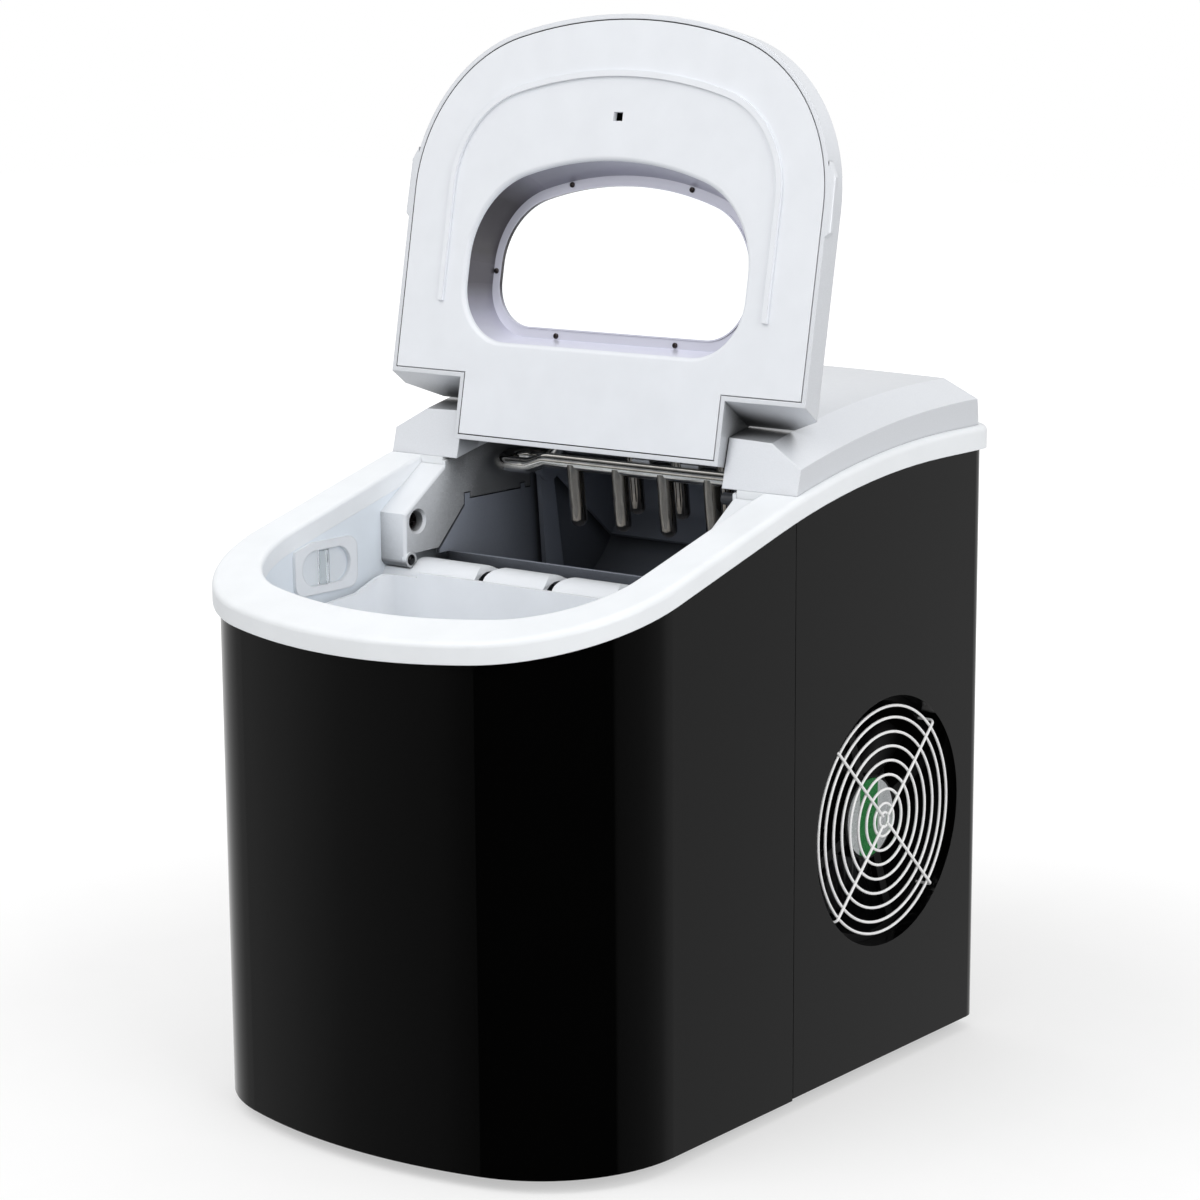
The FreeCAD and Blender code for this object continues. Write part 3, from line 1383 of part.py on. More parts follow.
# ---------------------------------------------------------------- fan
def fan_frame():
    """Square fan frame with its struts and motor cup."""
    x0, x1 = fan_face_x - fan_depth, fan_face_x
    half = fan_square / 2
    body = box(x0, x1, fan_y - half, fan_y + half, fan_z - half, fan_z + half)
    body = body.makeFillet(fan_corner, [e for e in body.Edges if abs(e.Vertexes[0].X - e.Vertexes[1].X) > 1])
    body = body.cut(rod(fan_bore, (x0 - past, fan_y, fan_z), (x1 + past, fan_y, fan_z)))
    waist = box(x0 + fan_flange, x1 - fan_flange, fan_y - far, fan_y + far, fan_z - far, fan_z + far)
    body = body.cut(waist.cut(rod(fan_bore + 2.5, (x0, fan_y, fan_z), (x1, fan_y, fan_z))))
    cup = rod(fan_hub, (x1 - cup_depth, fan_y, fan_z), (x1 - label_thick, fan_y, fan_z))
    struts = []
    for quarter in range(4):
        strut = box(x1 - fan_flange, x1 - past, fan_y - strut_width / 2, fan_y + strut_width / 2, fan_z,
                    fan_z + fan_bore + past)
        strut.rotate(V(0, fan_y, fan_z), V(1, 0, 0), quarter * 90 + strut_turn)
        struts.append(strut)
    body = body.multiFuse([cup] + struts)
    return body.cut(rod(rotor_shaft + shaft_fit, (x0, fan_y, fan_z), (x1 - 5, fan_y, fan_z))).removeSplitter()


def fan_label():
    """Plain round label on the fan's motor cup."""
    return rod(fan_hub - 1.5, (fan_face_x - label_thick, fan_y, fan_z), (fan_face_x, fan_y, fan_z))


def blade_section(radius, pitch, depth):
    """Curved blade section at a radius, as a closed outline that faces up the blade."""
    turn = math.radians(pitch)
    half = depth / 2 / math.sin(turn)

    def at(along, off):
        return V(along * math.sin(turn) + off * math.cos(turn), along * math.cos(turn) - off * math.sin(turn), radius)

    ends = at(-half, 0), at(half, 0)
    belly = half * blade_camber
    outer = Part.Arc(ends[0], at(0, belly + blade_thick), ends[1]).toShape()
    inner = Part.Arc(ends[1], at(0, belly), ends[0]).toShape()
    return Part.Wire([outer, inner])


def fan_rotor():
    """Hub with twisted blades on a short shaft."""
    x1 = fan_face_x - cup_depth - 2 * fit
    x0 = fan_face_x - fan_depth + past
    hub = rod(fan_hub, (x0, fan_y, fan_z), (x1, fan_y, fan_z))
    shaft = rod(rotor_shaft, (x1 - past, fan_y, fan_z), (fan_face_x - 6, fan_y, fan_z))
    depth = x1 - x0 - 2 * past
    tip = fan_bore - blade_gap
    blade = Part.makeLoft([blade_section(fan_hub * 0.85, blade_root_pitch, depth),
                           blade_section(tip + 2, blade_tip_pitch, depth)], True, False)
    blade = blade.common(Part.makeCylinder(tip, far, V(-far / 2, 0, 0), V(1, 0, 0)))
    blade.translate(V((x0 + x1) / 2, fan_y, fan_z))
    blades = []
    for place in range(fan_blades):
        turned = blade.copy()
        turned.rotate(V(0, fan_y, fan_z), V(1, 0, 0), place * 360 / fan_blades)
        blades.append(turned)
    return hub.multiFuse([shaft] + blades).removeSplitter()


def guard_radii():
    """Radii of the guard's rings, from the outside in."""
    radii = [guard_outer, guard_outer - guard_step]
    while radii[-1] > guard_pitch * 1.4 and len(radii) < guard_rings - 1:
        radii.append(radii[-1] - guard_pitch)
    return radii + [radii[-1] * 0.45]


def fan_guard():
    """Wire rings in the fan opening."""
    wires = [ring(r + guard_wire, r - guard_wire, (guard_x - guard_wire, fan_y, fan_z),
                  (guard_x + guard_wire, fan_y, fan_z)) for r in guard_radii()]
    return Part.makeCompound(wires)


def guard_arms():
    """Four arms behind the rings, with ends that hook back to the fan's frame."""
    x1 = guard_x - guard_wire
    x0 = x1 - 2 * guard_wire
    arms = []
    for quarter in range(4):
        arm = box(x0, x1, fan_y - guard_wire, fan_y + guard_wire, fan_z + guard_radii()[-1] - guard_wire,
                  fan_z + guard_reach)
        hook = box(fan_face_x, x0, fan_y - guard_wire, fan_y + guard_wire, fan_z + guard_reach - 2 * guard_wire,
                   fan_z + guard_reach)
        for piece in (arm, hook):
            piece.rotate(V(0, fan_y, fan_z), V(1, 0, 0), 45 + quarter * 90)
            arms.append(piece)
    return Part.makeCompound(arms)


# ---------------------------------------------------------------- cooling circuit
def compressor():
    """Welded compressor pot on its foot plate."""
    low = foot_height + pan_thickness + mount_height
    high = low + compressor_height
    x, y = compressor_x, compressor_y
    pot = rod(compressor_radius, (x, y, low + past), (x, y, high))
    pot = pot.makeFillet(compressor_round, [e for e in pot.Edges if e.Closed])
    belt = rod(compressor_radius + belt_proud, (x, y, low + belt_low), (x, y, low + belt_high))
    reach = mount_reach + mount_radius
    plate = box(x - reach, x + reach, y - reach, y + reach, low, low + plate_thick)
    plate = plate.makeFillet(mount_radius, [e for e in plate.Edges if abs(e.Vertexes[0].Z - e.Vertexes[1].Z) > 1])
    body = fuse([pot, belt, plate])
    holes = [rod(3, (*place, low - past), (*place, low + plate_thick + past)) for place in mount_places()]
    return body.cut(Part.makeCompound(holes)).removeSplitter()


def mount_places():
    """Where the compressor's rubber mounts stand."""
    return [(compressor_x + a * mount_reach, compressor_y + b * mount_reach) for a in (-1, 1) for b in (-1, 1)]


def compressor_mounts():
    """Rubber mounts between the pan and the foot plate."""
    pan_top = foot_height + pan_thickness
    mounts = [rod(mount_radius, (x, y, pan_top), (x, y, pan_top + mount_height)) for x, y in mount_places()]
    return Part.makeCompound(mounts)


def terminal_box():
    """Cover over the compressor's terminals."""
    x0 = compressor_x + compressor_radius - 5
    piece = box(x0, x0 + terminal_reach, compressor_y - 16, compressor_y + 24, terminal_low, terminal_high)
    pot = rod(compressor_radius + belt_proud, (compressor_x, compressor_y, 0), (compressor_x, compressor_y, far))
    return largest(piece.cut(pot))


def condenser():
    """Finned coil in front of the fan."""
    y0, y1 = fan_y - condenser_half, fan_y + condenser_half
    z0, z1 = fan_z - condenser_half, fan_z + condenser_half
    x1 = condenser_x + condenser_depth
    middle = (condenser_x + x1) / 2
    step = (y1 - y0) / (condenser_fins - 1)
    fins = [box(condenser_x, x1, y0 + place * step - fin_thick / 2, y0 + place * step + fin_thick / 2, z0, z1)
            for place in range(condenser_fins)]
    tubes = [rod(condenser_tube, (middle, y0 - foot_bar, fan_z + row), (middle, y1 + foot_bar, fan_z + row))
             for row in condenser_rows]
    bars = [box(condenser_x + 4, x1 - 4, y - foot_bar / 2, y + foot_bar / 2, foot_height + pan_thickness,
                z0 + 2) for y in (y0, y1)]
    return fuse(fins + tubes + bars)


def filter_drier():
    """Copper drier upright beside the compressor."""
    body = rod(drier_radius, (drier_x, drier_y, drier_low), (drier_x, drier_y, drier_high))
    neck = line_radius + 0.2
    ends = [Part.makeCone(neck, drier_radius, drier_cone, V(drier_x, drier_y, drier_low - drier_cone)),
            Part.makeCone(drier_radius, neck, drier_cone, V(drier_x, drier_y, drier_high))]
    return body.multiFuse(ends).removeSplitter()


def gas_valve():
    """Hot gas valve with its coil."""
    coil = box(drier_x - 13, drier_x + 13, valve_y - 10, valve_y + 10, valve_low, valve_high)
    coil = coil.makeFillet(2, [e for e in coil.Edges if abs(e.Vertexes[0].Z - e.Vertexes[1].Z) > 1])
    stem = rod(valve_stem, (drier_x, valve_y, valve_low - 14), (drier_x, valve_y, valve_low))
    return coil.fuse(stem).removeSplitter()


def tilted_point(y, z):
    """Where a point of the evaporator's upright ends stands once tilted."""
    turn = math.radians(evaporator_tilt)
    ahead, up = y - row_front_y, z - tube_z
    return (row_front_y + ahead * math.cos(turn) - up * math.sin(turn),
            tube_z + ahead * math.sin(turn) + up * math.cos(turn))


def refrigerant_lines():
    """Pipes between the evaporator, the compressor, the drier, the valve and the condenser."""
    top = foot_height + pan_thickness + mount_height + compressor_height
    pipes = []
    for x, y, end in zip(line_places, (row_front_y + loop_gap, row_front_y + row_gap), (12, -12)):
        first = tilted_point(y, line_z)
        bend = tilted_point(y, line_z + 7)
        route = [(x, *first), (x, *bend), (x, line_back, bend[1]), (x, line_back, line_over),
                 (compressor_x + end, compressor_y, line_over), (compressor_x + end, compressor_y, top)]
        pipes.append(pipe(route, line_radius, [5, 5, 5, 5]))
    drier_top = drier_high + drier_cone
    drier_foot = drier_low - drier_cone
    hot = [(drier_x, drier_y, drier_top), (drier_x, drier_y, valve_high + 10), (drier_x, valve_y, valve_high + 10),
           (drier_x, valve_y, valve_high)]
    pipes.append(pipe(hot, line_radius, [5, 5]))
    coil_x = condenser_x + condenser_depth / 2
    coil_y = fan_y - condenser_half - foot_bar
    coil_z = fan_z + condenser_rows[0]
    cold = [(drier_x, drier_y, drier_foot), (drier_x, drier_y, drier_foot - 10), (coil_x, 12, drier_foot - 10),
            (coil_x, 12, coil_z), (coil_x, coil_y, coil_z)]
    pipes.append(pipe(cold, line_radius, [5, 5, 5]))
    side = compressor_x + math.sqrt(compressor_radius ** 2 - (compressor_y - valve_y - line_radius) ** 2) + fit
    back = [(drier_x, valve_y, valve_low - 14), (drier_x, valve_y, 100), (side, valve_y, 100)]
    pipes.append(pipe(back, line_radius, [5]))
    return Part.makeCompound(pipes)


# ---------------------------------------------------------------- small fittings
def cord_gland():
    """Bushing for the mains cord in the back."""
    face = shell_back + gland_flange
    flange = rod(gland_radius + 3, (gland_x, shell_back, gland_z), (gland_x, face, gland_z))
    sleeve = rod(gland_radius, (gland_x, shell_back - gland_sleeve, gland_z), (gland_x, shell_back, gland_z))
    bore = rod(gland_bore, (gland_x, shell_back - gland_sleeve - past, gland_z), (gland_x, face + past, gland_z))
    return flange.fuse(sleeve).cut(bore).removeSplitter()


def shell_screws():
    """Screw heads on the back."""
    reach = shell_half - back_screw_inset
    heads = [screw_head(back_screw_radius, 1.8, (x, shell_back, z), (0, 1, 0))
             for x in (-reach, reach) for z in (back_screw_low, back_screw_high)]
    return Part.makeCompound(heads)


# ---------------------------------------------------------------- export
pieces = {
    "front_shell": front_shell(),
    "rear_shell": rear_shell(),
    "base_pan": base_pan(),
    "feet": feet(),
    "top_frame": top_frame(),
    "rear_cover": rear_cover(),
    "lid_shell": lid_shell(),
    "lid_inner_panel": lid_inner_panel(),
    "lid_window_frame": lid_window_frame(),
    "lid_window": lid_window(),
    "lid_window_screws": lid_window_screws(),
    "lid_hinge_pins": lid_hinge_pins(),
    "control_fascia": control_fascia(),
    "power_button": push_button(button_places[0]),
    "select_button": push_button(button_places[1]),
    "indicator_lights": indicator_lights(),
    "control_board": control_board(),
    "tank_liner": tank_liner(),
    "ice_basket": ice_basket(),
    "ice_ramp": ice_ramp(),
    "sight_bezel": sight_bezel(),
    "sight_lens": sight_lens(),
    "lamp_housing": lamp_housing(),
    "sensor_cover_left": sensor_cover(-1),
    "sensor_cover_right": sensor_cover(1),
    "sensor_screws": sensor_screws(),
    "infrared_eyes": infrared_eyes(),
    "tray_housing": tray_housing(),
    "ice_tray": ice_tray(),
    "tray_shafts": tray_shafts(),
    "tray_motor": tray_motor(),
    "ice_shovel": ice_shovel(),
    "evaporator_tube": evaporator_tube(),
    "evaporator_fingers": evaporator_fingers(),
    "evaporator_bracket": evaporator_bracket(),
    "water_pump": water_pump(),
    "pump_hose": pump_hose(),
    "water_spout": water_spout(),
    "float_stem": float_stem(),
    "water_float": water_float(),
    "drain_spout": drain_spout(),
    "drain_cap": drain_cap(),
    "fan_frame": fan_frame(),
    "fan_label": fan_label(),
    "fan_rotor": fan_rotor(),
    "fan_guard": fan_guard(),
    "guard_arms": guard_arms(),
    "compressor": compressor(),
    "compressor_mounts": compressor_mounts(),
    "terminal_box": terminal_box(),
    "condenser": condenser(),
    "filter_drier": filter_drier(),
    "gas_valve": gas_valve(),
    "refrigerant_lines": refrigerant_lines(),
    "cord_gland": cord_gland(),
    "shell_screws": shell_screws(),
}

os.makedirs("parts", exist_ok=True)
for name, shape in pieces.items():
    shape.exportStep("parts/" + name + ".step")
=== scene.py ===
"""Finish of a countertop ice maker: every surface of the machine, its small hardware and the studio.

Laid out as an add-on, and run as a script. Metres throughout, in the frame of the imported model:
+Z up, the front towards -Y, the origin at the bottom centre of the body on the table.
"""

import math

import bmesh
import bpy
from mathutils import Matrix, Vector


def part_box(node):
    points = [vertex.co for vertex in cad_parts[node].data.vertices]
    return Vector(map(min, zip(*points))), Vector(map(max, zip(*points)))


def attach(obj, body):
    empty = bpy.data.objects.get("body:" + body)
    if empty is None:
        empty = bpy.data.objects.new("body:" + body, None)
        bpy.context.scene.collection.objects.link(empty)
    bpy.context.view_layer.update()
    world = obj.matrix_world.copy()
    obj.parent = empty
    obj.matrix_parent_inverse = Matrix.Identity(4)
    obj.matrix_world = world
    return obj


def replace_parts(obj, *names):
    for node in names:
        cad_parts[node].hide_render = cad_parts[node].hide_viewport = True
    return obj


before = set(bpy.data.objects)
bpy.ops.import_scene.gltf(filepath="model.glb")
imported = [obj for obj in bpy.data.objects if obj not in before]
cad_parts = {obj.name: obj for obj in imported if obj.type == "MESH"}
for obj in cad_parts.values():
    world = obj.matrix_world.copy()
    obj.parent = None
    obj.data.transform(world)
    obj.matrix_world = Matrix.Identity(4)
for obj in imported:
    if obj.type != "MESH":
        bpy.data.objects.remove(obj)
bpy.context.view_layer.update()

bl_info = {
    "name": "Ice Maker Finish",
    "version": (1, 0, 0),
    "blender": (4, 5, 0),
    "location": "View3D > Sidebar > Ice Maker",
    "description": "Finishes, hardware and studio of a countertop ice maker",
    "category": "Object",
}

MM = 0.001


# ---------------------------------------------------------------- settings
def linear(value):
    """One channel as a colour chart gives it, 0 to 255, in scene light."""
    share = value / 255
    if share <= 0.04045:
        return share / 12.92
    return ((share + 0.055) / 1.055) ** 2.4


def tint(name, description, red, green, blue):
    """A colour setting, from its chart values."""
    return bpy.props.FloatVectorProperty(
        name=name, description=description, subtype="COLOR", size=3, min=0.0, max=1.0,
        default=(linear(red), linear(green), linear(blue)))


def length(name, description, millimetres):
    """A length setting, from millimetres."""
    return bpy.props.FloatProperty(
        name=name, description=description, unit="LENGTH", precision=5, min=0.0,
        default=millimetres * MM)


def amount(name, description, value, top):
    """A plain number setting."""
    return bpy.props.FloatProperty(
        name=name, description=description, min=0.0, max=top, default=value)


def angle(name, description, degrees):
    """An angle setting, from degrees."""
    return bpy.props.FloatProperty(
        name=name, description=description, subtype="ANGLE", unit="ROTATION",
        default=math.radians(degrees))


class IceMakerColours(bpy.types.PropertyGroup):
    """Colours of the finishes."""

    casing: tint("Casing", "Gloss lacquer of the body shells", 4, 4, 4)
    ring: tint("Ring", "White moulding round the top", 242, 245, 248)
    silver: tint("Silver", "Painted rear cover and lid", 230, 233, 238)
    panel: tint("Lid panel", "Underside of the lid", 238, 241, 246)
    # The well's three colours are one silver: with painted shade on its left wall and painted light along
    # its foot.
    well: tint("Window well", "Smoked silver well round the lid's window", 172, 172, 188)
    well_painted_shade: tint("Well, dark side", "Its wall at the left", 72, 69, 72)
    well_painted_light: tint("Well, light side", "Its wall along the foot", 232, 233, 246)
    pane: tint("Pane", "Clear window in the lid", 250, 252, 252)
    liner: tint("Liner", "Light tub inside the machine", 232, 239, 246)
    opal: tint("Opal window", "Window in the tub's left wall", 228, 233, 238)
    basket: tint("Basket", "Ice basket", 246, 249, 253)
    ramp: tint("Ramp", "Slotted lip before the mechanism", 236, 239, 243)
    # painted light: set paler than the housing's dark plastic, standing in for light that hardly reaches the
    # bay; the tray and shovel share it
    housing: tint("Housing", "Dark trough of the mechanism", 160, 166, 178)
    nickel: tint("Nickel", "Plating of the freezing fingers", 138, 131, 121)
    # the tube has the same plating as the fingers, painted paler here as a painted highlight
    nickel_tube: tint("Nickel tube", "Plating of the tube over the fingers", 232, 229, 222)
    wire: tint("Wire", "White coating of the fan guard", 252, 252, 252)
    fan: tint("Fan", "Fan frame and blades", 8, 8, 9)
    label: tint("Label", "Green band of the fan's label", 30, 132, 62)
    label_foil: tint("Label foil", "Silver ground of the fan's label", 205, 208, 210)
    copper: tint("Copper", "Refrigerant lines", 205, 127, 90)
    brass: tint("Brass", "Body of the gas valve", 218, 187, 124)
    fins: tint("Fins", "Aluminium fins of the condenser", 221, 222, 223)
    enamel: tint("Enamel", "Compressor and its terminal box", 29, 29, 29)
    bracket: tint("Bracket", "Steel plate that holds the evaporator", 170, 170, 172)
    steel: tint("Steel", "Shell screws, hinge pins and shafts", 196, 196, 197)
    blackened: tint("Blackened steel", "Screws of the window and the sensor covers", 69, 63, 63)
    dark_plastic: tint("Dark plastic", "Base pan, pump and tray motor", 39, 39, 39)
    eye: tint("Eye", "Infrared eyes", 13, 13, 16)
    hose: tint("Hose", "Pump hose and drain cap", 188, 188, 184)
    foam: tint("Foam", "Float", 218, 218, 215)
    fascia: tint("Fascia", "Control panel", 33, 33, 34)
    button: tint("Buttons", "Power and select buttons", 179, 181, 182)
    light_guide: tint("Light guides", "Clear tips of the indicator lights", 218, 237, 218)
    board: tint("Board", "Resin of the circuit board", 39, 111, 69)
    symbol: tint("Symbols", "Printed symbols on the buttons", 44, 46, 50)


class IceMakerSizes(bpy.types.PropertyGroup):
    """Sizes of the small hardware that is made here."""

    guard_wire: length("Guard wire", "Diameter of the guard's wires", 1.35)
    guard_step: length("Outer step", "Between the two largest rings of the guard", 5.5)
    guard_pitch: length("Ring pitch", "Between the other rings of the guard", 6.7)
    guard_bend: length("Arm bend", "Radius of the bend at the end of a guard's arm", 2.2)
    label_band: length("Label band", "Width of the green band on the fan's label", 14.7)
    label_shift: length("Band offset", "How far the band lies towards the front", 1.5)
    ramp_fall: length("Ramp fall", "Drop of the ramp's back edge below its crest", 6.0)
    pane_thick: length("Sight pane", "Thickness of the opal window in the tub's wall", 1.2)
    symbol_height: length("Symbol height", "Height of the printed symbols on the buttons", 4.6)
    symbol_stroke: length("Symbol stroke", "Width of a printed line", 0.5)
    symbol_raised: length("Symbol ink", "How far the ink stands up", 0.06)
    light_tube: length("Light tube", "Diameter of the upright tube in the sight window", 6.4)


class IceMakerStudio(bpy.types.PropertyGroup):
    """Camera and light."""

    turn: angle("Turn", "How far the camera is turned to its left, from facing the front", 38.51)
    drop: angle("Drop", "How far the camera looks down", 11.40)
    roll: angle("Roll", "Camera's roll", -0.36)
    stand: bpy.props.FloatVectorProperty(
        name="Stand", description="Where the camera stands", subtype="TRANSLATION", unit="LENGTH",
        size=3, precision=5, default=(0.890865, -1.103622, 0.497063))
    lens: bpy.props.FloatProperty(
        name="Lens", description="Focal length", subtype="DISTANCE_CAMERA", default=94.40)
    shift: bpy.props.FloatVectorProperty(
        name="Shift", description="Shift of the frame, in widths of the picture", size=2, precision=5,
        default=(-0.00115, 0.0214))
    ambient: amount("Ambient", "Level of the even light", 0.67, 4.0)
    overhead: amount("Overhead", "Power of the overhead softbox in watts", 3.0, 500.0)
    key: amount("Key", "Power of the softbox on the front left in watts", 16.0, 500.0)
    fill: amount("Fill", "Power of the softbox on the right in watts", 15.0, 500.0)


# ---------------------------------------------------------------- finishes
# Painted light and painted shade on the walls of the window's well are set by this direction.
PAINTED_LIGHT_WAY = (-0.35, 0.0, 0.18)  # the more a wall of the window's well faces this way, the paler it is


class Finish:
    """One material, with the few node groups that the finishes share."""

    def __init__(self, name, colour, roughness, metallic=0.0, specular=0.5):
        self.material = bpy.data.materials.new(name)
        self.material.use_nodes = True
        tree = self.material.node_tree
        self.nodes = tree.nodes
        self.links = tree.links
        self.shader = tree.nodes["Principled BSDF"]
        self.shader.inputs["Base Color"].default_value = (*colour, 1.0)
        self.shader.inputs["Roughness"].default_value = roughness
        self.shader.inputs["Metallic"].default_value = metallic
        self.shader.inputs["Specular IOR Level"].default_value = specular
        coordinates = self.nodes.new("ShaderNodeTexCoord")
        self.place = coordinates.outputs["Object"]
        self.facing = coordinates.outputs["Normal"]
        self.bumps = []

    def noise(self, size, detail=2.0, stretch=None):
        """Noise whose features are about this size, as a value from 0 to 1."""
        place = self.place
        if stretch:
            mapping = self.nodes.new("ShaderNodeMapping")
            mapping.inputs["Scale"].default_value = stretch
            self.links.new(place, mapping.inputs["Vector"])
            place = mapping.outputs["Vector"]
        texture = self.nodes.new("ShaderNodeTexNoise")
        texture.inputs["Scale"].default_value = 1.0 / size
        texture.inputs["Detail"].default_value = detail
        self.links.new(place, texture.inputs["Vector"])
        return texture.outputs["Fac"]

    def spread(self, value, low, high, start=0.3, end=0.7):
        """A value carried from one range to another."""
        node = self.nodes.new("ShaderNodeMapRange")
        node.inputs["From Min"].default_value = start
        node.inputs["From Max"].default_value = end
        node.inputs["To Min"].default_value = low
        node.inputs["To Max"].default_value = high
        self.links.new(value, node.inputs["Value"])
        return node.outputs["Result"]

    def mottle(self, value, dark, light, start=0.3, end=0.7):
        """Base colour that runs between two close colours."""
        self.colour_by(value, (start, dark), (end, light))

    def colour_by(self, value, *stops, stepped=False):
        """Base colour that runs through stops, each a value and its colour."""
        ramp = self.nodes.new("ShaderNodeValToRGB")
        if stepped:
            ramp.color_ramp.interpolation = "CONSTANT"
        fill_ramp(ramp, stops)
        self.links.new(value, ramp.inputs["Fac"])
        self.links.new(ramp.outputs["Color"], self.shader.inputs["Base Color"])

    def openness(self, reach, samples):
        """How open the surface lies as far as this reach, from 0 to 1."""
        node = self.nodes.new("ShaderNodeAmbientOcclusion")
        node.samples = samples
        node.inputs["Distance"].default_value = reach
        return node.outputs["AO"]

    def painted_recess_shade(self, reach, deep, start=0.25, end=0.8):
        """Painted shade: base colour made darker where walls stand closer together than the reach, down to
        this share.
        """
        share = self.spread(self.openness(reach, 16), deep, 1.0, start, end)
        shade = self.nodes.new("ShaderNodeVectorMath")
        shade.operation = "SCALE"
        base = self.shader.inputs["Base Color"]
        self.links.new(base.links[0].from_socket, shade.inputs[0])
        self.links.new(share, shade.inputs["Scale"])
        self.links.new(shade.outputs["Vector"], base)
        return self

    def painted_gap_shade(self, reach, full):
        """Painted shade in gaps: no gloss inside a gap narrower than the reach, and the full gloss outside
        it.
        """
        share = self.spread(self.openness(reach, 8), 0.0, full, 0.45, 0.8)
        self.links.new(share, self.shader.inputs["Specular IOR Level"])

    def uneven(self, value, low, high):
        """Roughness that runs between two levels."""
        self.links.new(self.spread(value, low, high), self.shader.inputs["Roughness"])

    def soften(self, radius):
        """Small round along sharp edges, as every moulded or painted edge has."""
        edge = self.nodes.new("ShaderNodeBevel")
        edge.samples = 4
        edge.inputs["Radius"].default_value = radius
        self.bumps.append(edge)
        self.links.new(edge.outputs["Normal"], self.shader.inputs["Normal"])

    def relief(self, value, depth):
        """Bump of this depth in metres, on top of what is there."""
        bump = self.nodes.new("ShaderNodeBump")
        bump.inputs["Strength"].default_value = 1.0
        bump.inputs["Distance"].default_value = depth
        self.links.new(value, bump.inputs["Height"])
        if self.bumps:
            self.links.new(self.bumps[-1].outputs["Normal"], bump.inputs["Normal"])
        self.bumps.append(bump)
        self.links.new(bump.outputs["Normal"], self.shader.inputs["Normal"])

    def coat(self, weight, roughness):
        """Clear lacquer over the finish."""
        self.shader.inputs["Coat Weight"].default_value = weight
        self.shader.inputs["Coat Roughness"].default_value = roughness


def fill_ramp(ramp, stops):
    """Set a colour ramp's stops, each a position and a colour."""
    elements = ramp.color_ramp.elements
    for place, (position, colour) in enumerate(stops):
        element = elements[place] if place < 2 else elements.new(position)
        element.position = position
        element.color = (*colour, 1.0)


def deeper(colour, share):
    """The colour, darker by a share."""
    return tuple(channel * (1 - share) for channel in colour)


def moulded(name, colour, roughness=0.38, grain=0.02, edge=0.4, shine=0.5):
    """Injection-moulded plastic: a fine even grain, slightly uneven gloss and soft edges."""
    finish = Finish(name, colour, roughness, specular=shine)
    finish.soften(edge * MM)
    cloud = finish.noise(18 * MM, 3.0)
    finish.mottle(cloud, deeper(colour, 0.035), colour)
    finish.uneven(finish.noise(7 * MM, 4.0), roughness - 0.05, roughness + 0.05)
    finish.relief(finish.noise(0.55 * MM, 2.0), grain * MM)
    return finish


def lacquered_black(name, colour, roughness):
    """High-gloss black lacquer with the faint waviness of a moulded wall under it, and painted shade in its
    seams.
    """
    finish = Finish(name, colour, roughness)
    finish.soften(0.1 * MM)
    finish.mottle(finish.noise(60 * MM, 2.0), deeper(colour, 0.15), colour)
    finish.uneven(finish.noise(25 * MM, 4.0), roughness * 0.8, roughness * 1.3)
    finish.relief(finish.noise(38 * MM, 1.0), 0.012 * MM)
    # painted shade: the gloss is taken out of the seam between the shells so that the seam reads dark
    finish.painted_gap_shade(3 * MM, 0.5)
    return finish


def silver_paint(name, colour):
    """Silver metallic paint: flake under a satin coat, with painted shade in its recesses."""
    finish = Finish(name, colour, 0.4, metallic=0.25)
    finish.soften(0.6 * MM)
    flake = finish.noise(0.35 * MM, 1.0)
    finish.mottle(flake, deeper(colour, 0.06), colour)
    finish.uneven(finish.noise(4 * MM, 3.0), 0.36, 0.46)
    finish.relief(flake, 0.004 * MM)
    # painted shade: the silver is darkened in the lid's notches and other recesses
    finish.painted_recess_shade(26 * MM, 0.08)
    finish.coat(0.35, 0.22)
    return finish


def silver_with_painted_shade_and_light(name, dark, middling, light):
    """Silver inside a well, with painted shade deepest on the wall at its left and painted light palest
    along its foot, by the way each wall faces.
    """
    finish = Finish(name, middling, 0.34, metallic=0.3)
    facing = finish.nodes.new("ShaderNodeVectorMath")
    facing.operation = "DOT_PRODUCT"
    facing.inputs[1].default_value = PAINTED_LIGHT_WAY
    finish.links.new(finish.facing, facing.inputs[0])
    share = finish.spread(facing.outputs["Value"], 0.0, 1.0, -0.5, 0.5)
    # painted shade and painted light: the colour runs from dark to pale with the way the wall faces
    finish.colour_by(share, (0.16, dark), (0.34, middling), (0.66, light))
    finish.uneven(finish.noise(4 * MM, 3.0), 0.3, 0.4)
    finish.relief(finish.noise(0.35 * MM, 1.0), 0.003 * MM)
    finish.coat(0.3, 0.15)
    return finish


def plated_nickel(name, colour, gloss=0.06):
    """Bright plating over a drawn tube: fine draw lines and slight stains."""
    finish = Finish(name, colour, gloss, metallic=1.0)
    finish.mottle(finish.noise(9 * MM, 4.0), deeper(colour, 0.3), colour)
    finish.uneven(finish.noise(3 * MM, 4.0), gloss * 0.7, gloss * 1.5)
    finish.coat(1.0, 0.03)
    finish.relief(finish.noise(0.8 * MM, 2.0, (1.0, 1.0, 0.15)), 0.002 * MM)
    return finish


def bare_metal(name, colour, roughness):
    """Plain sheet or drawn metal with fine working marks."""
    finish = Finish(name, colour, roughness, metallic=1.0)
    finish.mottle(finish.noise(12 * MM, 4.0), deeper(colour, 0.15), colour)
    finish.uneven(finish.noise(2 * MM, 4.0), roughness - 0.06, roughness + 0.08)
    finish.relief(finish.noise(0.5 * MM, 2.0, (0.1, 1.0, 1.0)), 0.006 * MM)
    return finish


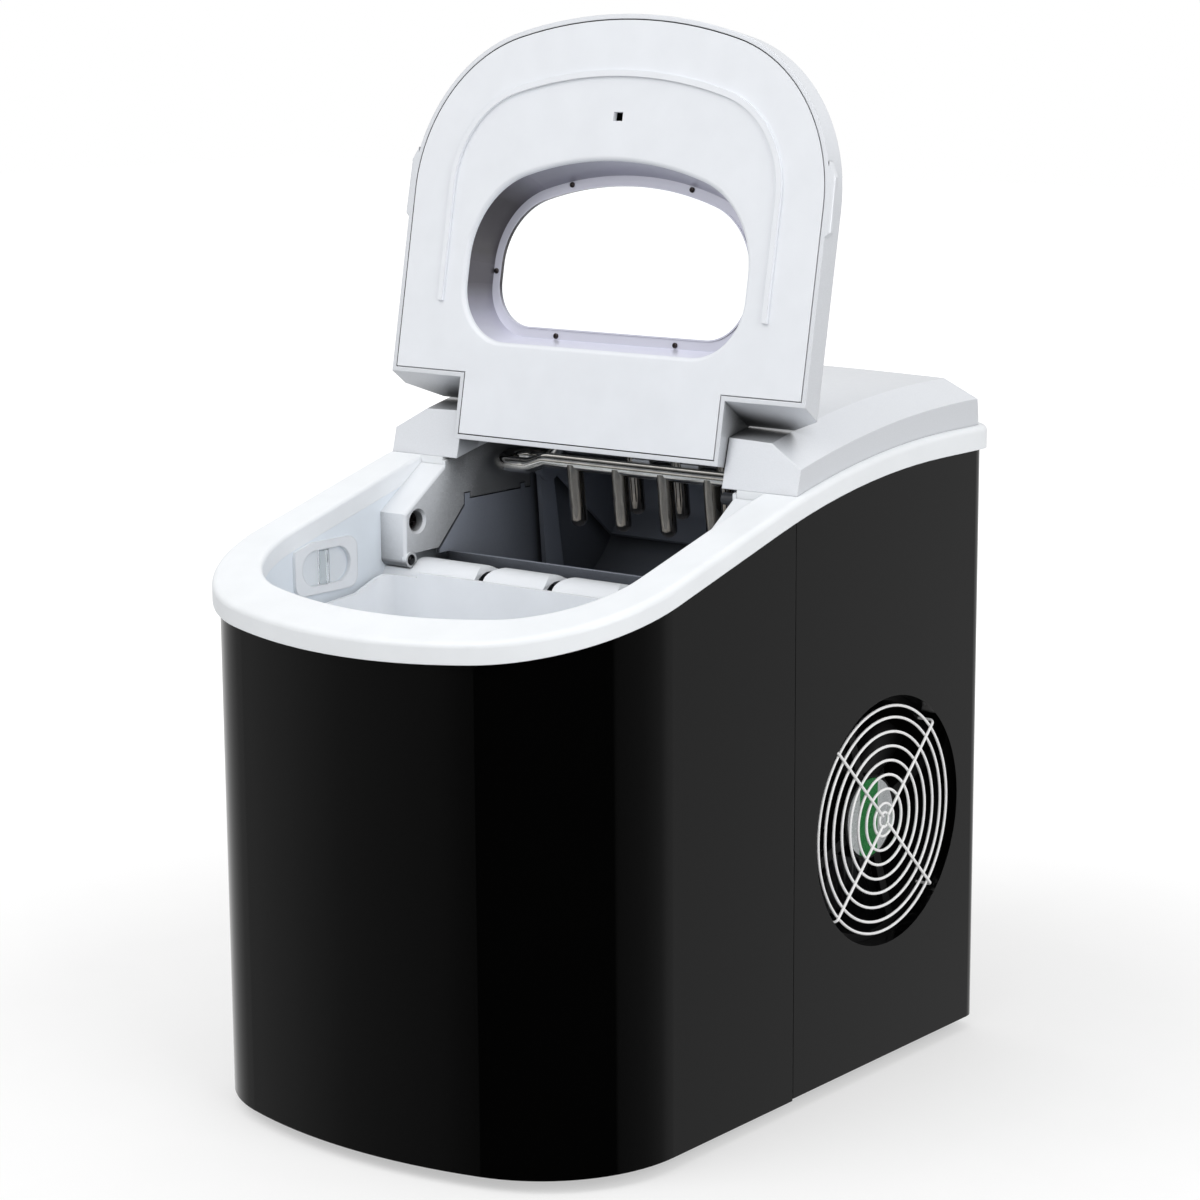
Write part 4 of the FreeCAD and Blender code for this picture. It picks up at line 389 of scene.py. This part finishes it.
def rubber(name, colour):
    """Matt rubber with a dusty bloom."""
    finish = Finish(name, colour, 0.75, specular=0.3)
    finish.mottle(finish.noise(3 * MM, 4.0), deeper(colour, 0.2), colour)
    finish.relief(finish.noise(0.4 * MM, 2.0), 0.03 * MM)
    return finish


def clear_plastic(name, colour, roughness=0.02, bending=1.1):
    """Clear moulded pane."""
    finish = Finish(name, colour, roughness)
    finish.shader.inputs["Transmission Weight"].default_value = 1.0
    finish.shader.inputs["IOR"].default_value = bending
    finish.uneven(finish.noise(30 * MM, 2.0), roughness * 0.5, roughness * 1.5)
    return finish


def dress(finish, slot, *nodes):
    """Put a finish on whole nodes of the construction."""
    for name in nodes:
        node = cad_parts[name]
        node.data.materials.clear()
        node.data.materials.append(finish.material)


# ---------------------------------------------------------------- studio
LIT_POINT = Vector((0, 0, 0.25))  # middle of the machine, which the lamps face
SOFTBOXES = (  # each with its place and size; its power is the setting of the same name
    ("overhead", (-0.2, -0.3, 1.9), 1.6),
    ("key", (-0.7, -1.7, 1.9), 1.4),
    ("fill", (1.9, -0.4, 0.9), 1.4),
)
FLOOR_REACH = 6.0  # from the machine to the floor's edges
FLOOR_GREY = 0.56
FLOOR_FADE = (0.3, 1.0)  # distances from the machine's middle between which the floor lightens
FLOOR_GLOW = (0.46, 0.8)  # how far it is lightened at those two
HORIZON = (-0.06, 0.35)  # rise of a direction at which the surroundings start and end turning white

# How bright the studio is, seen in the gloss of an upright wall, by the bearing it is seen at.
# Bearings in degrees from the front towards the machine's right-hand side.
REFLECTED_LEVELS = (
    (-180.0, 0.80), (-133.0, 0.80), (-117.0, 0.70), (-101.0, 0.42), (-93.0, 0.31), (-85.0, 0.23),
    (-60.0, 0.205), (-50.0, 0.17), (-43.0, 0.135), (-35.0, 0.118), (-18.0, 0.088), (-12.0, 0.055),
    (-7.0, 0.0), (90.0, 0.0), (92.0, 0.066), (114.0, 0.10), (122.0, 0.13), (130.0, 0.17),
    (139.0, 0.30), (143.0, 0.32), (180.0, 0.75),
)


def studio_world(ambient):
    """White surroundings: even light, and a graded view for what is mirrored below the horizon."""
    world = bpy.data.worlds.new("studio")
    world.use_nodes = True
    bpy.context.scene.world = world
    nodes = world.node_tree.nodes
    links = world.node_tree.links
    background = nodes["Background"]
    direction = nodes.new("ShaderNodeTexCoord").outputs["Generated"]
    split = nodes.new("ShaderNodeSeparateXYZ")
    links.new(direction, split.inputs["Vector"])

    def maths(operation, first, second=None):
        node = nodes.new("ShaderNodeMath")
        node.operation = operation
        for socket, value in zip(node.inputs, (first, second)):
            if isinstance(value, (int, float)):
                socket.default_value = value
            elif value is not None:
                links.new(value, socket)
        return node.outputs["Value"]

    # Bearing of the direction: 0 at the back, then by the left, the front and the right to 1.
    backwards = maths("MULTIPLY", split.outputs["Y"], -1.0)
    bearing = maths("ARCTAN2", split.outputs["X"], backwards)
    share = maths("ADD", maths("DIVIDE", bearing, 2 * math.pi), 0.5)
    ramp = nodes.new("ShaderNodeValToRGB")
    fill_ramp(ramp, [(degrees / 360 + 0.5, (level,) * 3) for degrees, level in REFLECTED_LEVELS])
    links.new(share, ramp.inputs["Fac"])
    rising = nodes.new("ShaderNodeMapRange")
    rising.inputs["From Min"].default_value, rising.inputs["From Max"].default_value = HORIZON
    links.new(split.outputs["Z"], rising.inputs["Value"])
    mirrored = maths("MAXIMUM", ramp.outputs["Color"], rising.outputs["Result"])

    path = nodes.new("ShaderNodeLightPath")
    # What passes the panes counts as mirrored if it was mirrored before, and as seen if not.
    passed = path.outputs["Is Transmission Ray"]
    bounced = maths("MINIMUM", path.outputs["Glossy Depth"], 1.0)
    passed_mirrored = maths("MULTIPLY", passed, bounced)
    seen = maths("MAXIMUM", path.outputs["Is Camera Ray"], maths("SUBTRACT", passed, passed_mirrored))
    gloss = maths("MAXIMUM", path.outputs["Is Glossy Ray"], passed_mirrored)
    glossy = maths("MULTIPLY", gloss, mirrored)
    straight = maths("ADD", seen, gloss)
    other = maths("MULTIPLY", maths("SUBTRACT", 1.0, maths("MINIMUM", straight, 1.0)), ambient)
    level = maths("ADD", maths("MINIMUM", maths("ADD", seen, glossy), 1.0), other)
    links.new(level, background.inputs["Strength"])
    background.inputs["Color"].default_value = (1.0, 1.0, 1.0, 1.0)


def studio_floor():
    """Pale floor that holds the machine's shadow and runs off into white."""
    mesh = bpy.data.meshes.new("floor")
    mesh.from_pydata([(x, y, 0) for x, y in square(FLOOR_REACH)], [], [(0, 1, 2, 3)])
    floor = bpy.data.objects.new("floor", mesh)
    bpy.context.scene.collection.objects.link(floor)
    grey = (FLOOR_GREY,) * 3
    finish = Finish("pale_floor", grey, 0.9, specular=0.0)
    finish.mottle(finish.noise(25 * MM), deeper(grey, 0.018), deeper(grey, -0.018), 0.0, 1.0)

    # Seen directly, it lightens away from the machine until it meets the white background.
    nodes, links = finish.nodes, finish.links
    distance = nodes.new("ShaderNodeVectorMath")
    distance.operation = "LENGTH"
    links.new(finish.place, distance.inputs[0])
    lift = finish.spread(distance.outputs["Value"], *FLOOR_GLOW, *FLOOR_FADE)
    path = nodes.new("ShaderNodeLightPath")
    seen = nodes.new("ShaderNodeMath")
    seen.operation = "MAXIMUM"
    links.new(path.outputs["Is Camera Ray"], seen.inputs[0])
    links.new(path.outputs["Is Transmission Ray"], seen.inputs[1])
    level = nodes.new("ShaderNodeMath")
    level.operation = "MULTIPLY"
    links.new(seen.outputs["Value"], level.inputs[0])
    links.new(lift, level.inputs[1])
    finish.shader.inputs["Emission Color"].default_value = (1.0, 1.0, 1.0, 1.0)
    links.new(level.outputs["Value"], finish.shader.inputs["Emission Strength"])
    mesh.materials.append(finish.material)
    floor.visible_glossy = False


def softbox(name, place, size, power):
    """Large soft lamp that faces the middle of the machine."""
    light = bpy.data.lights.new(name, "AREA")
    light.shape = "SQUARE"
    light.size = size
    light.energy = power
    lamp = bpy.data.objects.new(name, light)
    bpy.context.scene.collection.objects.link(lamp)
    lamp.location = place
    lamp.rotation_euler = (Vector(place) - LIT_POINT).to_track_quat("Z", "Y").to_euler()


class ICEMAKER_OT_studio(bpy.types.Operator):
    """Add the floor, the light and the camera"""

    bl_idname = "icemaker.studio"
    bl_label = "Studio"

    def execute(self, context):
        studio = context.scene.icemaker_studio
        context.scene.view_settings.view_transform = "Standard"
        studio_world(studio.ambient)
        studio_floor()
        for name, place, size in SOFTBOXES:
            softbox(name, place, size, getattr(studio, name))
        lens = bpy.data.cameras.new("camera")
        lens.lens = studio.lens
        lens.sensor_width = 36.0
        lens.shift_x, lens.shift_y = studio.shift
        lens.clip_start = 0.05
        camera = bpy.data.objects.new("camera", lens)
        context.scene.collection.objects.link(camera)
        turned = Matrix.Rotation(studio.turn, 4, "Z")
        dropped = Matrix.Rotation(math.radians(90) - studio.drop, 4, "X")
        rolled = Matrix.Rotation(studio.roll, 4, "Z")
        camera.matrix_world = Matrix.Translation(studio.stand) @ turned @ dropped @ rolled
        context.scene.camera = camera
        return {"FINISHED"}


# ---------------------------------------------------------------- fittings
def middle(node):
    """Centre of a node's box."""
    low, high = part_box(node)
    return (Vector(low) + Vector(high)) / 2


def fitting(name, shape, finish, body, place=(0, 0, 0)):
    """Finished mesh as a piece of its own that moves with a body."""
    mesh = bpy.data.meshes.new(name)
    bmesh.ops.recalc_face_normals(shape, faces=shape.faces)
    shape.to_mesh(mesh)
    shape.free()
    mesh.materials.append(finish.material)
    piece = bpy.data.objects.new(name, mesh)
    piece.location = place
    bpy.context.scene.collection.objects.link(piece)
    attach(piece, body)
    return piece


def smooth(piece, degrees=35):
    """Shade smooth, apart from edges sharper than this."""
    piece.data.shade_smooth()
    piece.data.set_sharp_from_angle(angle=math.radians(degrees))
    return piece


WIRE_TIP = ((0.7, 0.71), (1.0, 0.05))  # round end of a wire: how far out and how wide, in its radius


def round_end(last, before, radius):
    """Stops that round off the end of a wire, outwards, each a point and a share of the radius."""
    outward = (last - before).normalized() * radius
    return [(last + outward * out, share) for out, share in WIRE_TIP]


def round_wire(shape, path, across, side, closed=False, facets=12):
    """Round wire along a path; side is a direction that the path never takes."""
    radius = across / 2
    points = [Vector(point) for point in path]
    stops = [(point, 1.0) for point in points]
    if not closed:
        stops = (round_end(points[0], points[1], radius)[::-1] + stops
                 + round_end(points[-1], points[-2], radius))
    side = Vector(side).normalized()
    count = len(stops)
    loops = []
    for place, (point, share) in enumerate(stops):
        before = stops[place - 1][0] if closed or place else point
        after = stops[(place + 1) % count][0] if closed or place < count - 1 else point
        other = (after - before).normalized().cross(side)
        turns = (2 * math.pi * facet / facets for facet in range(facets))
        rim = [(side * math.cos(turn) + other * math.sin(turn)) * radius * share for turn in turns]
        loops.append([shape.verts.new(point + offset) for offset in rim])
    for place in range(count if closed else count - 1):
        first, second = loops[place], loops[(place + 1) % count]
        for facet in range(facets):
            following = (facet + 1) % facets
            shape.faces.new((first[facet], first[following], second[following], second[facet]))
    if not closed:
        shape.faces.new(loops[0])
        shape.faces.new(loops[-1])


def prism(shape, outline, low, high):
    """Flat-sided block over an outline in X and Y."""
    bottom = [shape.verts.new((x, y, low)) for x, y in outline]
    top = [shape.verts.new((x, y, high)) for x, y in outline]
    shape.faces.new(bottom)
    shape.faces.new(top)
    for place in range(len(outline)):
        following = (place + 1) % len(outline)
        shape.faces.new((bottom[place], bottom[following], top[following], top[place]))


def band(shape, inner, outer, low, high, closed=False):
    """Flat strip between two lines of as many points."""
    rows = [[shape.verts.new((x, y, height)) for x, y in line]
            for line, height in ((inner, low), (outer, low), (outer, high), (inner, high))]
    count = len(inner)
    for place in range(count if closed else count - 1):
        following = (place + 1) % count
        for side in range(4):
            first, second = rows[side], rows[(side + 1) % 4]
            shape.faces.new((first[place], first[following], second[following], second[place]))
    if not closed:
        for place in (0, -1):
            shape.faces.new([row[place] for row in rows])


def square(half, centre=(0.0, 0.0)):
    """Corners of a square."""
    return [(centre[0] + half * x, centre[1] + half * y) for x, y in ((-1, -1), (1, -1), (1, 1), (-1, 1))]


def arc(radius, start, end, steps, centre=(0.0, 0.0)):
    """Points of an arc, with its angles in degrees."""
    turns = (math.radians(start + (end - start) * step / steps) for step in range(steps + 1))
    return [(centre[0] + radius * math.cos(turn), centre[1] + radius * math.sin(turn)) for turn in turns]


# ---------------------------------------------------------------- pieces
RAMP_NOSE = 12 * MM  # round front of the ramp, as it is built
RAMP_STEPS = 8  # cuts behind the crest, so that the ramp can bend there
ARM_BEARINGS = (45, 135, 225, 315)  # of the guard's arms, in degrees from the back upwards
LAST_PITCH = 0.4  # least radius of the guard's last evenly spaced ring, in pitches
INNER_RING = 0.45  # smallest ring of the guard, in sizes of the one round it
TUBE_BORE = 0.68  # bore of the sight tube, in its outer sizes
TUBE_LENGTH = 0.96  # length of the sight tube, in heights of its window
TUBE_GAP = 0.05 * MM  # between the sight tube and the pane behind it
TOP_RISE = 0.8  # a face of a button belongs to its top if its normal rises more than this
POWER_GAP = 70  # opening of the power symbol's ring, in degrees
POWER_BAR = (0.2, 1.15)  # lower and upper end of its bar, in radii of the ring
CUBES = ((0.28, -0.66), (0.5, 0.44))  # half size and place of each cube, in heights of the symbol


class ICEMAKER_OT_casing(bpy.types.Operator):
    """Finish the body shells, the base pan, the feet, the mounts and the cord gland"""

    bl_idname = "icemaker.casing"
    bl_label = "Casing"

    def execute(self, context):
        colours = context.scene.icemaker_colours
        dress(lacquered_black("casing_lacquer", colours.casing, 0.05), "black_gloss", "front_shell")
        dress(lacquered_black("rear_lacquer", colours.casing, 0.09), "black_gloss_rear", "rear_shell")
        dress(moulded("pan_plastic", colours.dark_plastic, 0.5), "black_pan", "base_pan")
        dress(rubber("foot_rubber", colours.dark_plastic), "foot_rubber",
              "feet", "compressor_mounts", "cord_gland")
        return {"FINISHED"}


class ICEMAKER_OT_ring(bpy.types.Operator):
    """Finish the white ring round the top"""

    bl_idname = "icemaker.ring"
    bl_label = "Top ring"

    def execute(self, context):
        colours = context.scene.icemaker_colours
        dress(moulded("ring_plastic", colours.ring, 0.36), "white_ring", "top_frame")
        return {"FINISHED"}


class ICEMAKER_OT_lid(bpy.types.Operator):
    """Finish the lid, its window and hinge, and every screw and pin"""

    bl_idname = "icemaker.lid"
    bl_label = "Lid"

    def execute(self, context):
        colours = context.scene.icemaker_colours
        dress(silver_paint("lid_silver", colours.silver), "silver_lid", "lid_shell")
        dress(moulded("lid_panel_plastic", colours.panel, 0.42), "silver_panel", "lid_inner_panel")
        # painted shade and painted light on the well's walls, by the way each wall faces
        well = silver_with_painted_shade_and_light("window_well_silver", colours.well_painted_shade, colours.well, colours.well_painted_light)
        dress(well, "dark_window_frame", "lid_window_frame")
        dress(clear_plastic("window_pane", colours.pane), "clear_pane", "lid_window")
        dress(bare_metal("blackened_screws", colours.blackened, 0.3), "screw_steel",
              "lid_window_screws", "sensor_screws")
        dress(bare_metal("screw_steel", colours.steel, 0.3), "screw_steel", "shell_screws")
        dress(bare_metal("pin_steel", colours.steel, 0.25), "pin_steel", "lid_hinge_pins", "tray_shafts")
        return {"FINISHED"}


class ICEMAKER_OT_cover(bpy.types.Operator):
    """Finish the rear cover and its controls"""

    bl_idname = "icemaker.cover"
    bl_label = "Rear cover and controls"

    def execute(self, context):
        colours = context.scene.icemaker_colours
        sizes = context.scene.icemaker_sizes
        dress(silver_paint("cover_silver", colours.silver), "silver_cover", "rear_cover")
        dress(moulded("fascia_plastic", colours.fascia, 0.25), "fascia_black", "control_fascia")
        dress(moulded("button_plastic", colours.button, 0.4), "button_grey",
              "power_button", "select_button")
        ink = moulded("symbol_ink", colours.symbol, 0.5, grain=0.0, edge=0.0)
        printed_symbol("power_symbol", "power_button", power_symbol(sizes), ink)
        printed_symbol("cube_symbol", "select_button", cube_symbol(sizes), ink)
        dress(clear_plastic("light_guide", colours.light_guide, 0.2), "light_guide", "indicator_lights")
        dress(moulded("board_resin", colours.board, 0.35), "circuit_board", "control_board")
        return {"FINISHED"}


def printed_symbol(name, button, shape, finish):
    """Lay a flat symbol on the middle of a button's top, so that it is read from the machine's front."""
    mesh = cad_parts[button].data
    top = max((face for face in mesh.polygons if face.normal.z > TOP_RISE), key=lambda face: face.area)
    across = Vector((1, 0, 0))
    centre = middle(button)
    rise = (top.center - centre).dot(top.normal) / top.normal.z
    place = Matrix((across, top.normal.cross(across), top.normal)).transposed().to_4x4()
    place.translation = centre + Vector((0, 0, rise))
    bmesh.ops.transform(shape, matrix=place, verts=shape.verts)
    fitting(name, shape, finish, button)


def power_symbol(sizes):
    """Open ring with an upright bar in its gap."""
    stroke, raised = sizes.symbol_stroke, sizes.symbol_raised
    radius = sizes.symbol_height / 2
    start, end = 90 + POWER_GAP / 2, 450 - POWER_GAP / 2
    foot, head = (radius * share for share in POWER_BAR)
    shape = bmesh.new()
    band(shape, arc(radius - stroke, start, end, 32), arc(radius, start, end, 32), -raised, raised)
    band(shape, [(-stroke / 2, foot), (-stroke / 2, head)], [(stroke / 2, foot), (stroke / 2, head)],
         -raised, raised)
    return shape


def cube_symbol(sizes):
    """A small and a large ice cube that stand on one line."""
    stroke, raised = sizes.symbol_stroke, sizes.symbol_raised
    height = sizes.symbol_height
    shape = bmesh.new()
    for share, across in CUBES:
        half = height * share
        centre = (height * across, half - height / 2)
        band(shape, square(half - stroke, centre), square(half, centre), -raised, raised, closed=True)
    return shape


class ICEMAKER_OT_bay(bpy.types.Operator):
    """Finish the tub with its spouts and sight window, the basket, the ramp and the sensors"""

    bl_idname = "icemaker.bay"
    bl_label = "Ice bay"

    def execute(self, context):
        colours = context.scene.icemaker_colours
        dress(moulded("liner_plastic", colours.liner, 0.4), "light_liner", "tank_liner", "lamp_housing",
              "drain_spout")
        dress(moulded("spout_nylon", deeper(colours.housing, 0.9), 0.5), "dark_housing", "water_spout")
        dress(moulded("basket_plastic", colours.basket, 0.4), "light_basket", "ice_basket")
        dress(moulded("bezel_plastic", colours.ramp, 0.34, grain=0.01, edge=1.0),
              "light_bezel", "sight_bezel")
        sight_window(colours, context.scene.icemaker_sizes)
        # painted shade: the sensor covers darken where they lie deep under the lid
        dress(moulded("cover_plastic", colours.ramp, 0.38).painted_recess_shade(220 * MM, 0.2, 0.18, 0.36),
              "light_cover", "sensor_cover_left", "sensor_cover_right")
        eye = Finish("eye_plastic", colours.eye, 0.1, specular=0.25)
        eye.uneven(eye.noise(2 * MM), 0.06, 0.16)
        dress(eye, "eye_black", "infrared_eyes")
        ramp = moulded("ramp_plastic", colours.ramp, 0.4)
        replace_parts(sloped_ramp(ramp, context.scene.icemaker_sizes.ramp_fall), "ice_ramp")
        return {"FINISHED"}


def sight_window(colours, sizes):
    """Opal window in the tub's left wall, with half of a clear upright tube on its face."""
    low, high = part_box("sight_lens")
    centre = middle("sight_lens")
    radius = (high[2] - low[2]) / 2
    reach = (high[1] - low[1]) / 2 - radius
    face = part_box("lamp_housing")[1][0] + sizes.pane_thick
    opal = moulded("opal_window", colours.opal, 0.2, grain=0.0, edge=0.0)
    shape = bmesh.new()
    outline = arc(radius, -90, 90, 24, (reach, 0)) + arc(radius, 90, 270, 24, (-reach, 0))
    prism(shape, outline, low[0] - centre.x, face - centre.x)
    bmesh.ops.rotate(shape, verts=shape.verts, matrix=Matrix(((0, 0, 1), (1, 0, 0), (0, 1, 0))))
    pane = fitting("sight_pane", shape, opal, "machine", centre)

    outer = sizes.light_tube / 2
    bore = outer * TUBE_BORE
    half_length = radius * TUBE_LENGTH
    shape = bmesh.new()
    prism(shape, arc(outer, -90, 90, 24) + arc(bore, 90, -90, 24), -half_length, half_length)
    glass = clear_plastic("tube_glass", colours.pane, 0.03, 1.35)
    tube = fitting("sight_tube", shape, glass, "machine",
                   (face + TUBE_GAP, centre.y, centre.z))
    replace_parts(pane, "sight_lens")
    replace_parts(smooth(tube), "sight_lens")


def sloped_ramp(finish, fall):
    """The ramp with its crest rounded over and falling away to the mechanism."""
    shape = bmesh.new()
    shape.from_mesh(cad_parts["ice_ramp"].data)
    low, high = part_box("ice_ramp")
    crest = low[1] + RAMP_NOSE
    reach = high[1] - crest
    for step in range(RAMP_STEPS):
        bmesh.ops.bisect_plane(shape, geom=shape.verts[:] + shape.edges[:] + shape.faces[:],
                               plane_co=(0, crest + reach * step / RAMP_STEPS, 0), plane_no=(0, 1, 0))
    for vertex in shape.verts:
        share = max(0.0, (vertex.co.y - crest) / reach)
        # Round over the first half of the way back, then nearly straight.
        vertex.co.z -= fall * (1.6 * share * share if share < 0.5 else 1.2 * share - 0.2)
    return smooth(fitting("slotted_ramp", shape, finish, "machine"))


class ICEMAKER_OT_mechanism(bpy.types.Operator):
    """Finish the tray, the shovel, their housing and the evaporator"""

    bl_idname = "icemaker.mechanism"
    bl_label = "Freezing mechanism"

    def execute(self, context):
        colours = context.scene.icemaker_colours
        # painted shade: the housing, the tray and the shovel are darkened in their hollows
        housing = moulded("housing_nylon", colours.housing, 0.5).painted_recess_shade(80 * MM, 0.12, 0.1, 0.7)
        dress(housing, "dark_housing", "tray_housing")
        tray = moulded("tray_nylon", deeper(colours.housing, 0.1), 0.45).painted_recess_shade(60 * MM, 0.15, 0.1, 0.7)
        dress(tray, "dark_tray", "ice_tray")
        shovel = moulded("shovel_nylon", colours.housing, 0.45).painted_recess_shade(60 * MM, 0.2, 0.1, 0.7)
        dress(shovel, "dark_shovel", "ice_shovel")
        dress(moulded("motor_plastic", colours.dark_plastic, 0.5), "motor_black", "tray_motor")
        dress(plated_nickel("nickel_plating", colours.nickel), "evaporator_nickel", "evaporator_fingers")
        # painted highlight: the same plating as the fingers, in a paler colour
        dress(plated_nickel("nickel_tube", colours.nickel_tube, 0.1), "evaporator_nickel",
              "evaporator_tube")
        dress(bare_metal("bracket_steel", colours.bracket, 0.35), "bracket_steel", "evaporator_bracket")
        return {"FINISHED"}


class ICEMAKER_OT_water(bpy.types.Operator):
    """Finish the pump, the hose, the float and the drain cap"""

    bl_idname = "icemaker.water"
    bl_label = "Water parts"

    def execute(self, context):
        colours = context.scene.icemaker_colours
        dress(moulded("pump_plastic", colours.dark_plastic, 0.45), "motor_black", "water_pump", "float_stem")
        dress(rubber("hose_rubber", colours.hose), "hose_rubber", "pump_hose", "drain_cap")
        dress(rubber("float_foam", colours.foam), "float_foam", "water_float")
        return {"FINISHED"}


class ICEMAKER_OT_fan(bpy.types.Operator):
    """Finish the fan, and make its wire guard and its label"""

    bl_idname = "icemaker.fan"
    bl_label = "Fan and guard"

    def execute(self, context):
        colours = context.scene.icemaker_colours
        sizes = context.scene.icemaker_sizes
        dress(moulded("fan_nylon", colours.fan, 0.4, shine=0.2), "fan_black", "fan_frame", "fan_rotor")
        coating = moulded("guard_coating", colours.wire, 0.3, grain=0.0, edge=0.0)
        rings = fitting("guard_rings", guard_rings(sizes), coating, "machine")
        arms = fitting("guard_hooked_arms", guard_arms(sizes), coating, "machine")
        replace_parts(smooth(rings), "fan_guard")
        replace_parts(smooth(arms), "guard_arms")
        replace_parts(fan_label(colours, sizes), "fan_label")
        return {"FINISHED"}


def guard_rings(sizes):
    """Rings of the guard, as round wires that lie behind its arms."""
    centre = middle("fan_guard")
    low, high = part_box("fan_guard")
    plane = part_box("guard_arms")[1][0] - sizes.guard_wire / 2
    radius = (high[1] - low[1] - sizes.guard_wire) / 2
    radii = [radius, radius - sizes.guard_step]
    while radii[-1] > sizes.guard_pitch * (1 + LAST_PITCH):
        radii.append(radii[-1] - sizes.guard_pitch)
    radii.append(radii[-1] * INNER_RING)
    shape = bmesh.new()
    for radius in radii:
        path = [(plane, centre.y + across, centre.z + up) for across, up in arc(radius, 0, 360, 96)[:-1]]
        round_wire(shape, path, sizes.guard_wire, (1, 0, 0), closed=True)
    return shape


def guard_arms(sizes):
    """Four arms across the rings, bent back to the fan at their ends."""
    centre = middle("fan_guard")
    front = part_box("fan_guard")[1][0] - sizes.guard_wire / 2
    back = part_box("fan_frame")[1][0]
    low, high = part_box("guard_arms")
    reach = (high[1] - low[1]) / math.sqrt(2) - sizes.guard_wire
    bend = sizes.guard_bend
    shape = bmesh.new()
    for bearing in map(math.radians, ARM_BEARINGS):
        outward = Vector((0, math.cos(bearing), math.sin(bearing)))
        line = [(sizes.guard_pitch * 0.5, front), (reach - bend, front)]
        # The straight stretch ends where the bend begins, at 90 degrees.
        line += [(reach - bend + out, front - bend + up) for out, up in arc(bend, 80, 0, 8)]
        line.append((reach, back))
        path = [Vector((x, centre.y, centre.z)) + outward * out for out, x in line]
        round_wire(shape, path, sizes.guard_wire, outward.cross(Vector((1, 0, 0))))
    return shape


def fan_label(colours, sizes):
    """Round foil label on the fan's motor, with one green band."""
    low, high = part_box("fan_label")
    across = high[1] - low[1]
    thick = high[0] - low[0]
    finish = Finish("fan_label_foil", colours.label_foil, 0.28, metallic=0.35)
    along = finish.nodes.new("ShaderNodeSeparateXYZ")
    finish.links.new(finish.place, along.inputs["Vector"])
    share = finish.spread(along.outputs["Y"], 0.0, 1.0, -across / 2, across / 2)
    start = 0.5 - (sizes.label_shift + sizes.label_band / 2) / across
    end = 0.5 - (sizes.label_shift - sizes.label_band / 2) / across
    finish.colour_by(share, (0.0, colours.label_foil), (start, colours.label), (end, colours.label_foil),
                     stepped=True)
    finish.uneven(finish.noise(4 * MM, 3.0), 0.2, 0.36)
    finish.relief(finish.noise(6 * MM, 2.0), 0.03 * MM)
    shape = bmesh.new()
    prism(shape, arc(across / 2, 0, 360, 72)[:-1], -thick / 2, thick / 2)
    bmesh.ops.rotate(shape, verts=shape.verts, matrix=Matrix.Rotation(math.radians(90), 3, "Y"))
    return fitting("fan_motor_label", shape, finish, "machine", middle("fan_label"))


class ICEMAKER_OT_cooling(bpy.types.Operator):
    """Finish the closed cooling circuit"""

    bl_idname = "icemaker.cooling"
    bl_label = "Cooling circuit"

    def execute(self, context):
        colours = context.scene.icemaker_colours
        dress(moulded("compressor_enamel", colours.enamel, 0.3), "compressor_black",
              "compressor", "terminal_box")
        dress(bare_metal("condenser_fins", colours.fins, 0.35), "condenser_aluminium", "condenser")
        dress(bare_metal("copper_tube", colours.copper, 0.3), "copper", "refrigerant_lines", "filter_drier")
        dress(bare_metal("valve_brass", colours.brass, 0.3), "brass_valve", "gas_valve")
        return {"FINISHED"}


# ---------------------------------------------------------------- add-on
PIECE_OPERATORS = (
    ICEMAKER_OT_casing,
    ICEMAKER_OT_ring,
    ICEMAKER_OT_lid,
    ICEMAKER_OT_cover,
    ICEMAKER_OT_bay,
    ICEMAKER_OT_mechanism,
    ICEMAKER_OT_water,
    ICEMAKER_OT_fan,
    ICEMAKER_OT_cooling,
)


class ICEMAKER_PT_panel(bpy.types.Panel):
    """Steps of the finish, in order"""

    bl_idname = "ICEMAKER_PT_panel"
    bl_label = "Ice Maker"
    bl_space_type = "VIEW_3D"
    bl_region_type = "UI"
    bl_category = "Ice Maker"

    def draw(self, context):
        for operator in (ICEMAKER_OT_studio, *PIECE_OPERATORS):
            self.layout.operator(operator.bl_idname)
        for settings in ("icemaker_colours", "icemaker_sizes", "icemaker_studio"):
            group = getattr(context.scene, settings)
            box = self.layout.box()
            for name in group.__annotations__:
                box.prop(group, name)


CLASSES = (IceMakerColours, IceMakerSizes, IceMakerStudio, ICEMAKER_OT_studio, *PIECE_OPERATORS,
           ICEMAKER_PT_panel)


def register():
    for item in CLASSES:
        bpy.utils.register_class(item)
    bpy.types.Scene.icemaker_colours = bpy.props.PointerProperty(type=IceMakerColours)
    bpy.types.Scene.icemaker_sizes = bpy.props.PointerProperty(type=IceMakerSizes)
    bpy.types.Scene.icemaker_studio = bpy.props.PointerProperty(type=IceMakerStudio)


def unregister():
    del bpy.types.Scene.icemaker_studio
    del bpy.types.Scene.icemaker_sizes
    del bpy.types.Scene.icemaker_colours
    for item in reversed(CLASSES):
        bpy.utils.unregister_class(item)


def main():
    """Make everything in order."""
    register()
    bpy.ops.icemaker.studio()
    for operator in PIECE_OPERATORS:
        group, name = operator.bl_idname.split(".")
        getattr(getattr(bpy.ops, group), name)()


if __name__ == "__main__":
    main()
